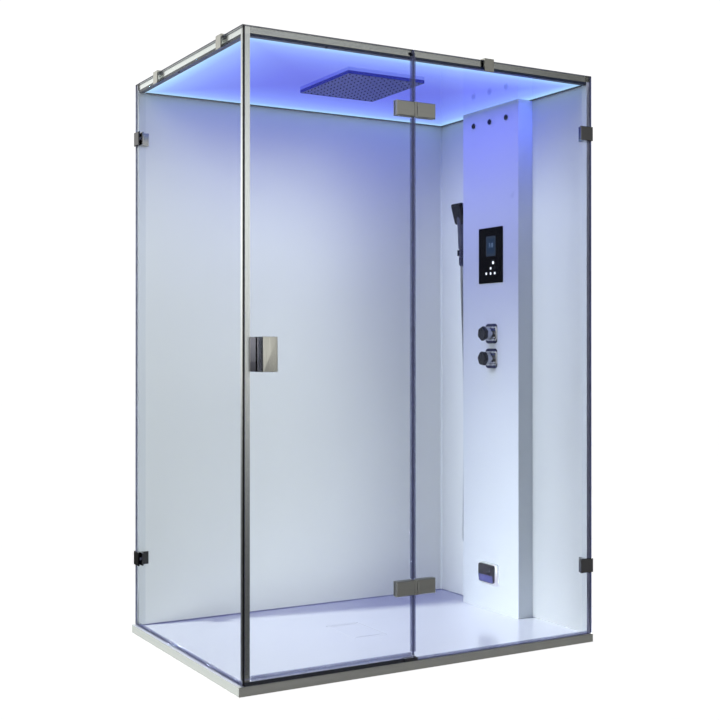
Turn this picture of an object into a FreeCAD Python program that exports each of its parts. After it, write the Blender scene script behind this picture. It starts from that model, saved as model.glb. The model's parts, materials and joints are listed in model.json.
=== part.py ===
import FreeCAD, Part
import os
import math
import Sketcher
from FreeCAD import Vector, Rotation, Placement

# Steam shower cabin: a low tray, two panel walls, two glass walls with a hinged
# glass door, a lit ceiling with a rain head, and a control column on the right wall.
# Millimetres. Origin: axis of the waste outlet at floor level. +X right, +Y back, +Z up.
# The front (door) side faces -Y.

doc = FreeCAD.newDocument("steam_cabin")
sheet = doc.addObject("Spreadsheet::Sheet", "Dims")

CELLS = [
    # tray
    ("tray_len", 1500.0), ("tray_wid", 1045.0), ("tray_tall", 32.0), ("apron_thick", 2.0),
    ("floor_drop", 3.0), ("pocket_deep", 20.0), ("sump_floor", 8.0),
    ("waste_bore", 40.0), ("waste_hole", 51.0),
    # outline of the frame, from the origin
    ("glass_left", 736.5), ("glass_front", 518.5), ("wall_right", 747.5), ("wall_back", 517.0),
    ("wall_thick", 16.0), ("glass_thick", 8.0), ("glass_gap", 1.0), ("glass_top", 2198.0),
    ("frame_top", 2200.0), ("rail_size", 25.0), ("rail_wall", 1.5), ("post_wid", 22.0),
    # door and hinges
    ("hinge_x", 68.0), ("hinge_out", 6.0), ("hinge_back", 6.5), ("hinge_leaf", 75.0),
    ("hinge_tall", 54.0), ("hinge_upper", 1985.0), ("hinge_lower", 292.5),
    ("door_edge", 75.5), ("fixed_edge", 70.5), ("door_low", 52.0), ("pin_rad", 3.0),
    ("run_clear", 0.05),
    # handle
    ("handle_x", 658.5), ("handle_wid", 52.0), ("handle_deep", 50.0), ("handle_tall", 116.0),
    ("handle_mid", 1118.0),
    # ceiling
    ("ceil_low", 2167.0), ("ceil_thick", 5.0), ("rain_x", 21.5), ("rain_y", 57.5),
    ("rain_len", 334.0), ("rain_wid", 389.0), ("rain_low", 2155.0),
    # column
    ("col_face", 658.5), ("col_right", 170.5), ("col_left", 224.5), ("col_skin", 4.0),
    ("col_top", 2164.8), ("jet_mid", 27.0), ("jet_pitch", 116.0), ("jet_z", 2103.0),
    ("panel_y", 18.0), ("panel_wid", 169.0), ("panel_tall", 236.0), ("panel_z", 1535.0),
    ("valve_y", 13.5), ("mixer_z", 1203.0), ("divert_z", 1098.0), ("plate_size", 84.0),
    ("knob_front", 604.5), ("knob_size", 62.0), ("stem_rad", 5.0),
    ("steam_y", 28.5), ("steam_z", 185.5),
    # hand shower and hose
    ("hand_x", 691.5), ("hand_y", 281.5), ("nut_low", 1507.0), ("hose_dia", 13.0),
    ("elbow_x", 705.0), ("elbow_z", 262.0),
    ("inlet_rad", 10.48), ("inlet_pitch", 160.0),
]
D = {}
for i, (alias, value) in enumerate(CELLS, start=1):
    sheet.set("A%d" % i, alias.replace("_", " "))
    sheet.set("B%d" % i, "%g" % value)
    sheet.setAlias("B%d" % i, alias)
doc.recompute()


class Q:
    """A size that keeps both its number and the sheet expression it comes from."""

    def __init__(self, v, s):
        self.v, self.s = v, s

    def _two(self, o, op, f, swap=False):
        ov, os_ = (o.v, o.s) if isinstance(o, Q) else (float(o), "%.6g" % o)
        if swap:
            return Q(f(ov, self.v), "(%s %s %s)" % (os_, op, self.s))
        return Q(f(self.v, ov), "(%s %s %s)" % (self.s, op, os_))

    def __add__(self, o): return self._two(o, "+", lambda a, b: a + b)
    def __radd__(self, o): return self._two(o, "+", lambda a, b: a + b, True)
    def __sub__(self, o): return self._two(o, "-", lambda a, b: a - b)
    def __rsub__(self, o): return self._two(o, "-", lambda a, b: a - b, True)
    def __mul__(self, o): return self._two(o, "*", lambda a, b: a * b)
    def __rmul__(self, o): return self._two(o, "*", lambda a, b: a * b, True)
    def __truediv__(self, o): return self._two(o, "/", lambda a, b: a / b)
    def __neg__(self): return Q(-self.v, "(0 - %s)" % self.s)


for alias, value in CELLS:
    D[alias] = Q(value, "Dims.%s" % alias)


def num(q):
    return q.v if isinstance(q, Q) else float(q)


def bind(obj, prop, q):
    if isinstance(q, Q):
        obj.setExpression(prop, q.s)


def place(obj, x, y, z, rot=None):
    obj.Placement = Placement(Vector(num(x), num(y), num(z)), rot or Rotation())
    bind(obj, "Placement.Base.x", x)
    bind(obj, "Placement.Base.y", y)
    bind(obj, "Placement.Base.z", z)
    return obj


def box(name, x0, x1, y0, y1, z0, z1):
    o = doc.addObject("Part::Box", name)
    for prop, q in (("Length", x1 - x0), ("Width", y1 - y0), ("Height", z1 - z0)):
        setattr(o, prop, num(q))
        bind(o, prop, q)
    return place(o, x0, y0, z0)


AXES = {
    "z": Rotation(),
    "x": Rotation(Vector(0, 0, 1), Vector(1, 0, 0)),
    "y": Rotation(Vector(0, 0, 1), Vector(0, 1, 0)),
}


def cyl(name, x, y, z, axis, r, length):
    o = doc.addObject("Part::Cylinder", name)
    o.Radius, o.Height = num(r), num(length)
    bind(o, "Radius", r)
    bind(o, "Height", length)
    return place(o, x, y, z, AXES[axis])


def ball(name, x, y, z, r):
    o = doc.addObject("Part::Sphere", name)
    o.Radius = num(r)
    bind(o, "Radius", r)
    return place(o, x, y, z)


def fuse(name, parts):
    o = doc.addObject("Part::MultiFuse", name)
    o.Shapes = parts
    o.Refine = True
    return o


def group(name, parts):
    o = doc.addObject("Part::Compound", name)
    o.Links = parts
    return o


def cut(name, base, tools):
    tool = tools[0] if len(tools) == 1 else fuse(name + "_tool", tools)
    o = doc.addObject("Part::Cut", name)
    o.Base, o.Tool = base, tool
    return o


def sketch(body, plane, loops, off=0):
    sk = body.newObject("Sketcher::SketchObject", body.Name + "_sk")
    base = [f for f in body.Origin.OriginFeatures if f.Role == plane][0]
    sk.AttachmentSupport = (base, [""])
    sk.MapMode = "FlatFace"
    sk.AttachmentOffset = Placement(Vector(0, 0, num(off)), Rotation())
    bind(sk, "AttachmentOffset.Base.z", off)
    for loop in loops:
        if loop[0] == "circle":
            _, cx, cy, r = loop
            g = sk.addGeometry(Part.Circle(Vector(num(cx), num(cy), 0), Vector(0, 0, 1), num(r)))
            items = [(g, 3, cx, cy)]
            k = sk.addConstraint(Sketcher.Constraint("Radius", g, num(r)))
            if isinstance(r, Q):
                sk.renameConstraint(k, "d%d" % k)
                sk.setExpression("Constraints.d%d" % k, r.s)
        else:
            pts = loop[1]
            n = len(pts)
            gs = []
            for i in range(n):
                a, b = pts[i], pts[(i + 1) % n]
                gs.append(sk.addGeometry(Part.LineSegment(
                    Vector(num(a[0]), num(a[1]), 0), Vector(num(b[0]), num(b[1]), 0))))
            for i in range(n):
                sk.addConstraint(Sketcher.Constraint("Coincident", gs[i], 2, gs[(i + 1) % n], 1))
            items = [(gs[i], 1, pts[i][0], pts[i][1]) for i in range(n)]
        for g, pos, px, py in items:
            for kind, q, ax in (("DistanceX", px, -2), ("DistanceY", py, -1)):
                if abs(num(q)) < 1e-9:
                    sk.addConstraint(Sketcher.Constraint("PointOnObject", g, pos, ax))
                    continue
                k = sk.addConstraint(Sketcher.Constraint(kind, -1, 1, g, pos, num(q)))
                if isinstance(q, Q):
                    sk.renameConstraint(k, "d%d" % k)
                    sk.setExpression("Constraints.d%d" % k, q.s)
    return sk


def rect(x0, y0, x1, y1):
    return ("poly", [(x0, y0), (x1, y0), (x1, y1), (x0, y1)])


def body(name):
    return doc.addObject("PartDesign::Body", name)


def pad(b, sk, length, rev=False):
    p = b.newObject("PartDesign::Pad", b.Name + "_pad")
    p.Profile = sk
    p.Length = num(length)
    bind(p, "Length", length)
    p.Reversed = rev
    sk.Visibility = False
    return p


def pocket(b, sk, length, rev=False):
    doc.recompute()
    before = b.Shape.Volume
    p = b.newObject("PartDesign::Pocket", b.Name + "_pocket")
    p.Profile = sk
    p.Length = num(length)
    bind(p, "Length", length)
    p.Reversed = rev
    doc.recompute()
    if not b.Shape.Volume < before - 1e-3:
        p.Reversed = not rev
        doc.recompute()
    if not b.Shape.Volume < before - 1e-3:
        raise RuntimeError("the pocket of %s removes nothing" % b.Name)
    return p


def fillet(b, radius, pick, kind="Fillet"):
    """Rounds or bevels the edges of a body that pick(edge) names."""
    doc.recompute()
    tip = b.Tip
    names = ["Edge%d" % (i + 1) for i, e in enumerate(tip.Shape.Edges) if pick(e)]
    if not names:
        raise RuntimeError("no edge to round on %s" % b.Name)
    f = b.newObject("PartDesign::" + kind, b.Name + "_" + kind.lower())
    f.Base = (tip, names)
    if kind == "Fillet":
        f.Radius = num(radius)
        bind(f, "Radius", radius)
    else:
        f.Size = num(radius)
        bind(f, "Size", radius)
    doc.recompute()
    return f


def along(axis):
    d = {"x": Vector(1, 0, 0), "y": Vector(0, 1, 0), "z": Vector(0, 0, 1)}[axis]

    def test(e):
        if len(e.Vertexes) != 2:
            return False
        v = e.Vertexes[1].Point - e.Vertexes[0].Point
        return v.Length > 1e-6 and abs(v.normalize().dot(d)) > 0.999
    return test


def prism(name, plane, pts, length, x=0, y=0, z=0, holes=()):
    """A straight section: plane is the section's plane, and it runs +X, +Y or +Z."""
    b = body(name)
    sk = sketch(b, plane, [("poly", pts)] + list(holes))
    pad(b, sk, length, rev=(plane == "XZ_Plane"))
    return place(b, x, y, z)


d = D
PARTS = []


def keep(obj, label):
    obj.Label = label
    PARTS.append((label, obj))
    return obj


wall_in_x = d["wall_right"] - d["wall_thick"]
wall_in_y = d["wall_back"] - d["wall_thick"]
half_l = d["tray_len"] / 2
half_w = d["tray_wid"] / 2
tray_front = -half_w + d["apron_thick"]
floor_z = d["tray_tall"] - d["floor_drop"]

# ------------------------------------------------------------------ tray
# Cast tray: rim, a floor 3 mm lower, a sump for the waste, hollow underneath.
tray = body("tray_body")
pad(tray, sketch(tray, "XY_Plane", [rect(-half_l, tray_front, half_l, half_w)]), d["tray_tall"])
fillet(tray, 4, lambda e: along("z")(e))
pocket(tray, sketch(tray, "XY_Plane", [rect(-716, -480, wall_in_x - 0.1, 499)], d["tray_tall"]), d["floor_drop"])
pocket(tray, sketch(tray, "XY_Plane", [rect(-86.5, -122.5, 57.5, 113.5)], floor_z), 3)
pocket(tray, sketch(tray, "XY_Plane", [rect(-68, -100, 52, 100)], floor_z - 3),
       floor_z - 3 - d["sump_floor"])
pocket(tray, sketch(tray, "XY_Plane", [("circle", 0, 0, d["waste_hole"] / 2)], 0), d["sump_floor"], rev=True)
cells = []
for cx in (-623, -415, -207, 207, 415, 623):
    for y0, y1 in ((-492, -20), (20, 494)):
        cells.append(rect(cx - 85, y0, cx + 85, y1))
pocket(tray, sketch(tray, "XY_Plane", cells, 0), d["pocket_deep"], rev=True)
keep(tray, "shower_tray")

keep(prism("apron_body", "YZ_Plane",
           [(0, 0), (d["apron_thick"], 0), (d["apron_thick"], d["tray_tall"] - 0.5), (0.6, d["tray_tall"] - 0.5), (0, d["tray_tall"] - 1.1)],
           d["tray_len"], -half_l, -half_w, 0), "tray_apron")

# Waste flange: a ring in the sump whose stem fills the tray's hole.
wb = body("waste_body")
pad(wb, sketch(wb, "XY_Plane", [("circle", 0, 0, d["waste_hole"] / 2 - 0.5), ("circle", 0, 0, d["waste_bore"] / 2)]),
    d["sump_floor"])
pad(wb, sketch(wb, "XY_Plane", [("circle", 0, 0, 34), ("circle", 0, 0, d["waste_bore"] / 2)], d["sump_floor"]), 2.5)
keep(wb, "waste_flange")

cover = body("drain_body")
pad(cover, sketch(cover, "XY_Plane", [rect(0, 0, 142, 234)]), 2.9)
fillet(cover, 8, along("z"))
pocket(cover, sketch(cover, "XY_Plane", [rect(12, 14, 130, 17), rect(12, 217, 130, 220)], 2.9), 2.9)
fillet(cover, 1, lambda e: abs(e.CenterOfMass.z - 2.9) < 1e-6 and (
    e.CenterOfMass.x < 9 or e.CenterOfMass.x > 133 or e.CenterOfMass.y < 9 or e.CenterOfMass.y > 225))
place(cover, -85.5, -121.5, floor_z - 2.95)
keep(cover, "drain_cover")

# ------------------------------------------------------------------ walls
rail_low = d["frame_top"] - d["rail_size"]

keep(prism("back_wall", "XY_Plane",
           [(0, 0), (d["wall_right"] + 726.5, 0), (d["wall_right"] + 726.5, d["wall_thick"]), (0, d["wall_thick"])],
           rail_low - d["tray_tall"], -726.5, wall_in_y, d["tray_tall"]), "back_wall_panel")

stub_y0 = d["valve_y"] - d["inlet_pitch"] / 2
stub_y1 = d["valve_y"] + d["inlet_pitch"] / 2
rw = body("right_wall")
pad(rw, sketch(rw, "YZ_Plane", [
    rect(-508.5, 0, wall_in_y, rail_low - d["tray_tall"]),
    ("circle", stub_y0, d["mixer_z"] - d["tray_tall"], 12.5),
    ("circle", stub_y1, d["mixer_z"] - d["tray_tall"], 12.5)]), d["wall_thick"])
place(rw, wall_in_x, 0, d["tray_tall"])
keep(rw, "right_wall_panel")

wall_h = rail_low - d["tray_tall"]
# Polished channels over the walls' free ends, and the cove strip in the inside corner.
ch1 = prism("end_left", "XY_Plane",
            [(0, 0), (28, 0), (28, 2), (2, 2), (2, 18), (28, 18), (28, 20), (0, 20)],
            wall_h, -728.5, 499, d["tray_tall"])
ch2 = prism("end_right", "XY_Plane",
            [(0, 0), (20, 0), (20, 28), (18, 28), (18, 2), (2, 2), (2, 28), (0, 28)],
            wall_h, 729.5, -510.5, d["tray_tall"])
ch3 = prism("cove", "XY_Plane", [(0, 6), (6, 0), (6, 6)], 2164 - d["tray_tall"],
            wall_in_x - 6, wall_in_y - 6, d["tray_tall"])
keep(group("wall_prof", [ch1, ch2, ch3]), "wall_profiles")

# ------------------------------------------------------------------ frame
glass_in_x = -d["glass_left"] + d["glass_thick"]
glass_in_y = -d["glass_front"] + d["glass_thick"]
post_x = glass_in_x + d["glass_gap"]
post_y = glass_in_y + d["glass_gap"]
rs, rwl = d["rail_size"], d["rail_wall"]

pb = body("post")
pad(pb, sketch(pb, "XY_Plane", [rect(0, 0, d["post_wid"], rs),
                                rect(rwl, rwl, d["post_wid"] - rwl, rs - rwl)]),
    d["frame_top"] - d["tray_tall"])
place(pb, post_x, post_y, d["tray_tall"])
keep(pb, "corner_post")


def rail(name, axis, length, x, y):
    b = body(name)
    pl = "YZ_Plane" if axis == "x" else "XZ_Plane"
    pad(b, sketch(b, pl, [rect(0, 0, rs, rs), rect(rwl, rwl, rs - rwl, rs - rwl)]), length,
        rev=(axis == "y"))
    return place(b, x, y, rail_low)


rx0 = post_x + d["post_wid"]
rx1 = d["wall_right"] - rs
ry0 = post_y + rs
ry1 = d["wall_back"] - rs
keep(rail("rail_f", "x", rx1 - rx0, rx0, post_y), "top_rail_front")
keep(rail("rail_l", "y", ry1 - ry0, post_x, ry0), "top_rail_left")
keep(group("rails_r", [rail("rail_b", "x", rx1 - (post_x + rs), post_x + rs, ry1),
                       rail("rail_r", "y", ry1 - ry0, rx1, ry0)]), "top_rails_rear")


def corner(name, x, y, tx, ty):
    """A cast corner cube with two tongues that plug into the rails."""
    g = 1.8
    parts = [box(name + "_c", x, x + rs, y, y + rs, rail_low, d["frame_top"])]
    a, b = (x - 30, x + 5) if tx < 0 else (x + rs - 5, x + rs + 30)
    parts.append(box(name + "_tx", a, b, y + g, y + rs - g, rail_low + g, d["frame_top"] - g))
    a, b = (y - 30, y + 5) if ty < 0 else (y + rs - 5, y + rs + 30)
    parts.append(box(name + "_ty", x + g, x + rs - g, a, b, rail_low + g, d["frame_top"] - g))
    return fuse(name, parts)


keep(group("corner_blocks", [corner("cb_fr", rx1, post_y, -1, 1), corner("cb_bl", post_x, ry1, 1, -1),
                             corner("cb_br", rx1, ry1, -1, -1)]), "rail_corner_blocks")

# ------------------------------------------------------------------ glass
gh = d["glass_top"] - 34


def screw_z(base, k):
    return base + k * 15


lg = body("glass_l")
pad(lg, sketch(lg, "YZ_Plane", [rect(-d["glass_front"], 0, d["wall_back"], gh),
                                ("circle", 479, 1978 - 34, 6), ("circle", 479, 300 - 34, 6)]), d["glass_thick"])
place(lg, -d["glass_left"], 0, 34)
keep(lg, "left_glass")

# Screw lines of the hinge leaves.
leaf_fx = -d["hinge_x"] + d["hinge_back"] + d["hinge_leaf"] / 2
leaf_dx = -d["hinge_x"] - d["hinge_back"] - d["hinge_leaf"] / 2


def hinge_holes(x, low, r):
    out = []
    for hz in (d["hinge_upper"], d["hinge_lower"]):
        for k in (-1, 1):
            out.append(("circle", x, hz + k * 15 - low, r))
    return out


fg = body("glass_f")
pad(fg, sketch(fg, "XZ_Plane", [rect(-d["fixed_edge"], 0, 746.5, gh), ("circle", 712, 1973 - 34, 6),
                                ("circle", 712, 298 - 34, 6)] + hinge_holes(leaf_fx, 34, 7)),
    d["glass_thick"], rev=True)
place(fg, 0, -d["glass_front"], 34)
keep(fg, "fixed_glass")

dg = body("glass_d")
hz0 = d["handle_mid"] - 30 - d["door_low"]
hz1 = d["handle_mid"] + 30 - d["door_low"]
pad(dg, sketch(dg, "XZ_Plane", [rect(glass_in_x + 1, 0, -d["door_edge"], d["glass_top"] - d["door_low"]),
                                ("circle", -d["handle_x"], hz0, 7), ("circle", -d["handle_x"], hz1, 7)]
              + hinge_holes(leaf_dx, d["door_low"], 7)), d["glass_thick"], rev=True)
place(dg, 0, -d["glass_front"], d["door_low"])
keep(dg, "door_glass")

# Clear edge strips that stay with the cabin: under the two fixed panes and on the fixed pane's edge.
gf = -d["glass_front"]
s1 = prism("seal_f", "YZ_Plane", [(0, 0), (11, 0), (11, 10), (9.5, 10), (9.5, 2), (1.5, 2), (1.5, 10), (0, 10)],
           786, -57, gf - 1.5, d["tray_tall"])
s2 = prism("seal_l", "XZ_Plane", [(0, 0), (11, 0), (11, 10), (9.5, 10), (9.5, 2), (1.5, 2), (1.5, 10), (0, 10)],
           982, -d["glass_left"] - 1.5, -484, d["tray_tall"])
s3 = prism("seal_l2", "XZ_Plane", [(0, 0), (9.5, 0), (9.5, 2), (1.5, 2), (1.5, 10), (0, 10)],
           33.5, -d["glass_left"] - 1.5, -518.5, d["tray_tall"])
edge = [(0, 0), (1.2, 0), (1.2, 8), (9, 8), (9, 8.85), (0, 8.85)]
SEGS = ((64, 262), (323, 1955), (2015, 2190))
s4 = [prism("seal_e%d" % i, "XY_Plane", edge, b - a, -d["fixed_edge"] - 1.2, gf, a)
      for i, (a, b) in enumerate(SEGS)]
keep(group("cabin_seals", [s1, s2, s3] + s4), "glass_seals")

keep(prism("threshold", "YZ_Plane", [(0, 0), (8, 0), (8, 10), (6, 12), (2, 12), (0, 10)], 613,
           -727, gf + 0.2, d["tray_tall"]), "door_threshold")
keep(cut("pivot_block", box("pb_a", -113.5, -57.5, -521.5, -501.5, d["tray_tall"], 44),
         [box("pb_b", -72, -57, -518.7, -508.8, 33.8, 45)]), "threshold_block")

# ------------------------------------------------------------------ clips
clip_pts = [(0, 0), (5.8, 0), (5.8, 43.2), (44.5, 43.2), (44.5, 39.5), (47.5, 39.5), (47.5, 48), (0, 48)]
c1 = prism("clip_f", "YZ_Plane", clip_pts, 42, 232.5, gf - 6, 2157)
c2 = prism("clip_l1", "XZ_Plane", clip_pts, 42, -d["glass_left"] - 6, -351.5, 2157)
c3 = prism("clip_l2", "XZ_Plane", clip_pts, 42, -d["glass_left"] - 6, 257.5, 2157)
for c in (c1, c2, c3):
    fillet(c, 1.2, lambda e: e.Length > 40 and abs(e.Length - 42) < 0.01, "Chamfer")
keep(group("clips_top", [c1, c2, c3]), "rail_clips")

cc = []
for i, z in enumerate((1946, 271)):
    p = body("plate_fr%d" % i)
    pad(p, sketch(p, "XZ_Plane", [rect(0, 0, 61, 54)]), 5.8, rev=True)
    pocket(p, sketch(p, "XZ_Plane", [("circle", 22.5, 27, 3.2)], -5.8), 4)
    fillet(p, 1.5, lambda e: abs(e.CenterOfMass.y) < 1e-6 and e.Length > 50, "Chamfer")
    place(p, 689.5, gf - 6, z)
    cc.append(p)
    q = cut("brk_fr%d" % i, fuse("bf%d" % i, [
        box("bfa%d" % i, 694, 729.3, -510.3, -504.5, z + 2, z + 52),
        box("bfb%d" % i, 723.5, 729.3, -504.6, -470, z + 2, z + 52)]),
        [cyl("bfh%d" % i, 712, -512, z + 27, "y", 3.2, 12)])
    cc.append(q)
for i, z in enumerate((1951, 273)):
    p = body("plate_bl%d" % i)
    pad(p, sketch(p, "YZ_Plane", [rect(0, 0, 54.5, 54)]), 5.8)
    pocket(p, sketch(p, "YZ_Plane", [("circle", 12.5, 27, 3.2)], 5.8), 4)
    fillet(p, 1.5, lambda e: abs(e.CenterOfMass.x) < 1e-6 and e.Length > 50, "Chamfer")
    place(p, -d["glass_left"] - 6, 466.5, z)
    cc.append(p)
    q = cut("brk_bl%d" % i, fuse("bb%d" % i, [
        box("bba%d" % i, -728.3, -722.5, 460, 498.8, z + 2, z + 52),
        box("bbb%d" % i, -722.6, -690, 493, 498.8, z + 2, z + 52)]),
        [cyl("bbh%d" % i, -730, 479, z + 27, "x", 3.2, 12)])
    cc.append(q)
keep(group("clips_corner", cc), "corner_clips")


def screw(name, x, y, z, axis, sign, shaft, head=5.0, r=3.0):
    """A pan-head screw whose head's underside is at the point, with its shaft running along sign * axis."""
    off = {"x": (1, 0, 0), "y": (0, 1, 0), "z": (0, 0, 1)}[axis]
    if sign > 0:
        s0, h0 = 0.0, -2.4
    else:
        s0, h0 = -shaft, 0.0
    a = cyl(name + "_s", x + off[0] * s0, y + off[1] * s0, z + off[2] * s0, axis, r, shaft)
    b = cyl(name + "_h", x + off[0] * h0, y + off[1] * h0, z + off[2] * h0, axis, head, 2.4)
    return fuse(name, [a, b])


fs = []
for i, z in enumerate((1973, 298)):
    fs.append(screw("sc_fr%d" % i, 712, -504.4, z, "y", -1, 17.5))
for i, z in enumerate((1978, 300)):
    fs.append(screw("sc_bl%d" % i, -722.4, 479, z, "x", -1, 17.5))
for i, hz in enumerate((d["hinge_upper"], d["hinge_lower"])):
    for k in (-1, 1):
        fs.append(screw("sc_h%d%d" % (i, k + 1), leaf_fx, gf + 14.1, hz + k * 15, "y", -1, 20))
# Two bolts that hold the ceiling's frame up to the rails.
fs.append(screw("bolt_f", -414.5, -500, 2164.9, "z", 1, 8, 4.2, 2))
fs.append(screw("bolt_l", -718, 90.5, 2164.9, "z", 1, 8, 4.2, 2))
keep(group("screws_c", fs), "frame_screws")

# ------------------------------------------------------------------ hinges
hx = -d["hinge_x"]
hy = gf - d["hinge_out"]
kn = 14.0  # length of an outer knuckle


def leaf(name, side, hz, y0, thick, x_in, bevel):
    """One clamp plate of a hinge leaf, drilled for two screws."""
    z0 = hz - d["hinge_tall"] / 2
    b = body(name)
    w = d["hinge_leaf"]
    pl = sketch(b, "XZ_Plane", [rect(0, 0, w, d["hinge_tall"])])
    pad(b, pl, thick, rev=True)
    hole_y = thick if y0 is None else 0
    if bevel:
        pocket(b, sketch(b, "XZ_Plane", [("circle", w / 2, d["hinge_tall"] / 2 - 15, 3.2),
                                         ("circle", w / 2, d["hinge_tall"] / 2 + 15, 3.2)], -thick), thick - 3)
        fillet(b, 3, lambda e: abs(e.CenterOfMass.y) < 1e-6 and e.Length > 50, "Chamfer")
    else:
        pocket(b, sketch(b, "XZ_Plane", [("circle", w / 2, d["hinge_tall"] / 2 - 15, 3.3),
                                         ("circle", w / 2, d["hinge_tall"] / 2 + 15, 3.3)], -thick), thick)
        fillet(b, 1.5, lambda e: abs(e.CenterOfMass.y - 6) < 1e-6 and e.Length > 50, "Chamfer")
    x = x_in if side > 0 else x_in - w
    return place(b, x, gf - 12 if bevel else gf + 8, z0)


def knuckles(name, side, hz, spans, bore):
    z0 = hz - d["hinge_tall"] / 2
    parts = []
    for j, (a, b) in enumerate(spans):
        parts.append(cyl("%s_k%d" % (name, j), hx, hy, z0 + a, "z", 5.7, b - a))
        x0, x1 = (hx, hx + d["hinge_back"] + 3) if side > 0 else (hx - d["hinge_back"] - 3, hx)
        parts.append(box("%s_w%d" % (name, j), x0, x1, hy - 3.0, hy + 5.4, z0 + a, z0 + b))
    return parts, cyl(name + "_bore", hx, hy, z0 - 1, "z", bore, d["hinge_tall"] + 2)


fixed, doorl, pins = [], [], []
T = d["hinge_tall"]
for i, hz in enumerate((d["hinge_upper"], d["hinge_lower"])):
    x_f = hx + d["hinge_back"]
    x_d = hx - d["hinge_back"]
    k, bore = knuckles("kf%d" % i, 1, hz, ((0, kn), (T - kn, T)), d["pin_rad"])
    fixed.append(cut("leaf_f%d" % i, fuse("lf%d" % i, [leaf("plf%d" % i, 1, hz, 0, 12, x_f, True)] + k), [bore]))
    fixed.append(leaf("plfb%d" % i, 1, hz, 0, 6, x_f, False))
    k, bore = knuckles("kd%d" % i, -1, hz, ((kn + 0.3, T - kn - 0.3),), d["pin_rad"] + d["run_clear"])
    doorl.append(cut("leaf_d%d" % i, fuse("ld%d" % i, [leaf("pld%d" % i, -1, hz, 0, 12, x_d, True)] + k), [bore]))
    doorl.append(leaf("pldb%d" % i, -1, hz, 0, 6, x_d, False))
    pins.append(cyl("pin%d" % i, hx, hy, hz - T / 2, "z", d["pin_rad"], T))
keep(group("hinge_f", fixed), "hinge_fixed_leaves")
keep(group("hinge_d", doorl), "hinge_door_leaves")
keep(group("hinge_p", pins), "hinge_pins")

# ------------------------------------------------------------------ door trim
ds = []
ds.append(prism("drip", "YZ_Plane", [(0, 5), (2.5, 5), (3.2, 0), (4.2, 0), (4.0, 5), (11, 5), (11, 17), (9.5, 17),
                                      (9.5, 7), (1.5, 7), (1.5, 17), (0, 17)],
                626.5, -704, gf - 1.5, 44.8))
hseal = [(0, 0), (18.5, 0), (18.5, 1.1), (9.5, 1.1), (9.5, 10.65), (0, 10.65), (0, 9.9),
         (8.3, 9.9), (8.3, 1.75), (0, 1.75)]
for i, (a, b) in enumerate(SEGS):
    ds.append(prism("hs%d" % i, "XY_Plane", hseal, b - a, -83.8, gf - 1.8, a))
ds.append(prism("strike", "XY_Plane", [(0, 0), (20, 0), (20, 0.7), (0, 0.7)], 2106, glass_in_x + 1.8, glass_in_y + 0.1, 66))
ds.append(prism("topseal", "XZ_Plane", [(0, 0), (624, 0), (624, 18), (0, 18)], 0.7, -704, glass_in_y + 0.1, 2178))
keep(group("door_seal_set", ds), "door_seals")


def handle(name, y0):
    """A square block handle: a cast shell, open towards the glass, with two drilled bosses."""
    b = body(name)
    w, t, dp = d["handle_wid"], d["handle_tall"], d["handle_deep"]
    outer = y0 < 0
    pad(b, sketch(b, "XZ_Plane", [rect(0, 0, w, t)]), dp, rev=True)
    fillet(b, 1.2, lambda e: (e.CenterOfMass.y < 1e-6) if outer else (e.CenterOfMass.y > dp.v - 1e-6), "Chamfer")
    # the hollow leaves a 3 mm skin round two bosses
    hollow = [rect(3, 3, w - 3, t / 2 - 38), rect(3, t / 2 - 22, w - 3, t / 2 + 22), rect(3, t / 2 + 38, w - 3, t - 3)]
    if outer:
        sk = sketch(b, "XZ_Plane", hollow, -dp)
        pocket(b, sk, dp - 3)
        sk = sketch(b, "XZ_Plane", [("circle", w / 2, t / 2 - 30, 4.1), ("circle", w / 2, t / 2 + 30, 4.1)], -dp)
        pocket(b, sk, dp - 8)
    else:
        sk = sketch(b, "XZ_Plane", hollow, 0)
        pocket(b, sk, dp - 3, rev=True)
        sk = sketch(b, "XZ_Plane", [("circle", w / 2, t / 2 - 30, 4.1), ("circle", w / 2, t / 2 + 30, 4.1)], 0)
        pocket(b, sk, dp - 8, rev=True)
    return b


ho = handle("handle_o", -1)
place(ho, -d["handle_x"] - d["handle_wid"] / 2, gf - d["handle_deep"], d["handle_mid"] - d["handle_tall"] / 2)
keep(ho, "handle_outer")
hi = handle("handle_i", 1)
place(hi, -d["handle_x"] - d["handle_wid"] / 2, glass_in_y, d["handle_mid"] - d["handle_tall"] / 2)
keep(hi, "handle_inner")

dsc = []
for k in (-1, 1):
    dsc.append(cyl("hbolt%d" % (k + 1), -d["handle_x"], gf - 40, d["handle_mid"] + k * 30, "y", 4, 88))
for i, hz in enumerate((d["hinge_upper"], d["hinge_lower"])):
    for k in (-1, 1):
        dsc.append(screw("sd_h%d%d" % (i, k + 1), leaf_dx, gf + 14.1, hz + k * 15, "y", -1, 20))
keep(group("screws_d", dsc), "door_screws")

# ------------------------------------------------------------------ ceiling
cf = []
cf.append(cut("cf_f", prism("cf_fb", "YZ_Plane", [(0, 2165), (19.5, 2165), (19.5, 2167), (14.5, 2167), (14.5, 2175), (0, 2175)],
              1434.3, -705.3, -509.3, 0), [cyl("cf_fh", -414.5, -500, 2160, "z", 2.1, 20)]))
cf.append(cut("cf_l", prism("cf_lb", "XZ_Plane", [(0, 2165), (19.5, 2165), (19.5, 2167), (14.5, 2167), (14.5, 2175), (0, 2175)],
              982.8, -727.3, -484.3, 0), [cyl("cf_lh", -718, 90.5, 2160, "z", 2.1, 20)]))
cf.append(prism("cf_b", "YZ_Plane", [(0, 2165), (11, 2165), (11, 2175), (5, 2175), (5, 2167), (0, 2167)],
                1431.6, -700.2, 489.8, 0))
cf.append(prism("cf_r", "XZ_Plane", [(0, 2165), (11, 2165), (11, 2175), (5, 2175), (5, 2167), (0, 2167)],
                971.5, 720.4, -482, 0))
keep(group("ceil_frame", cf), "ceiling_frame")

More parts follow.
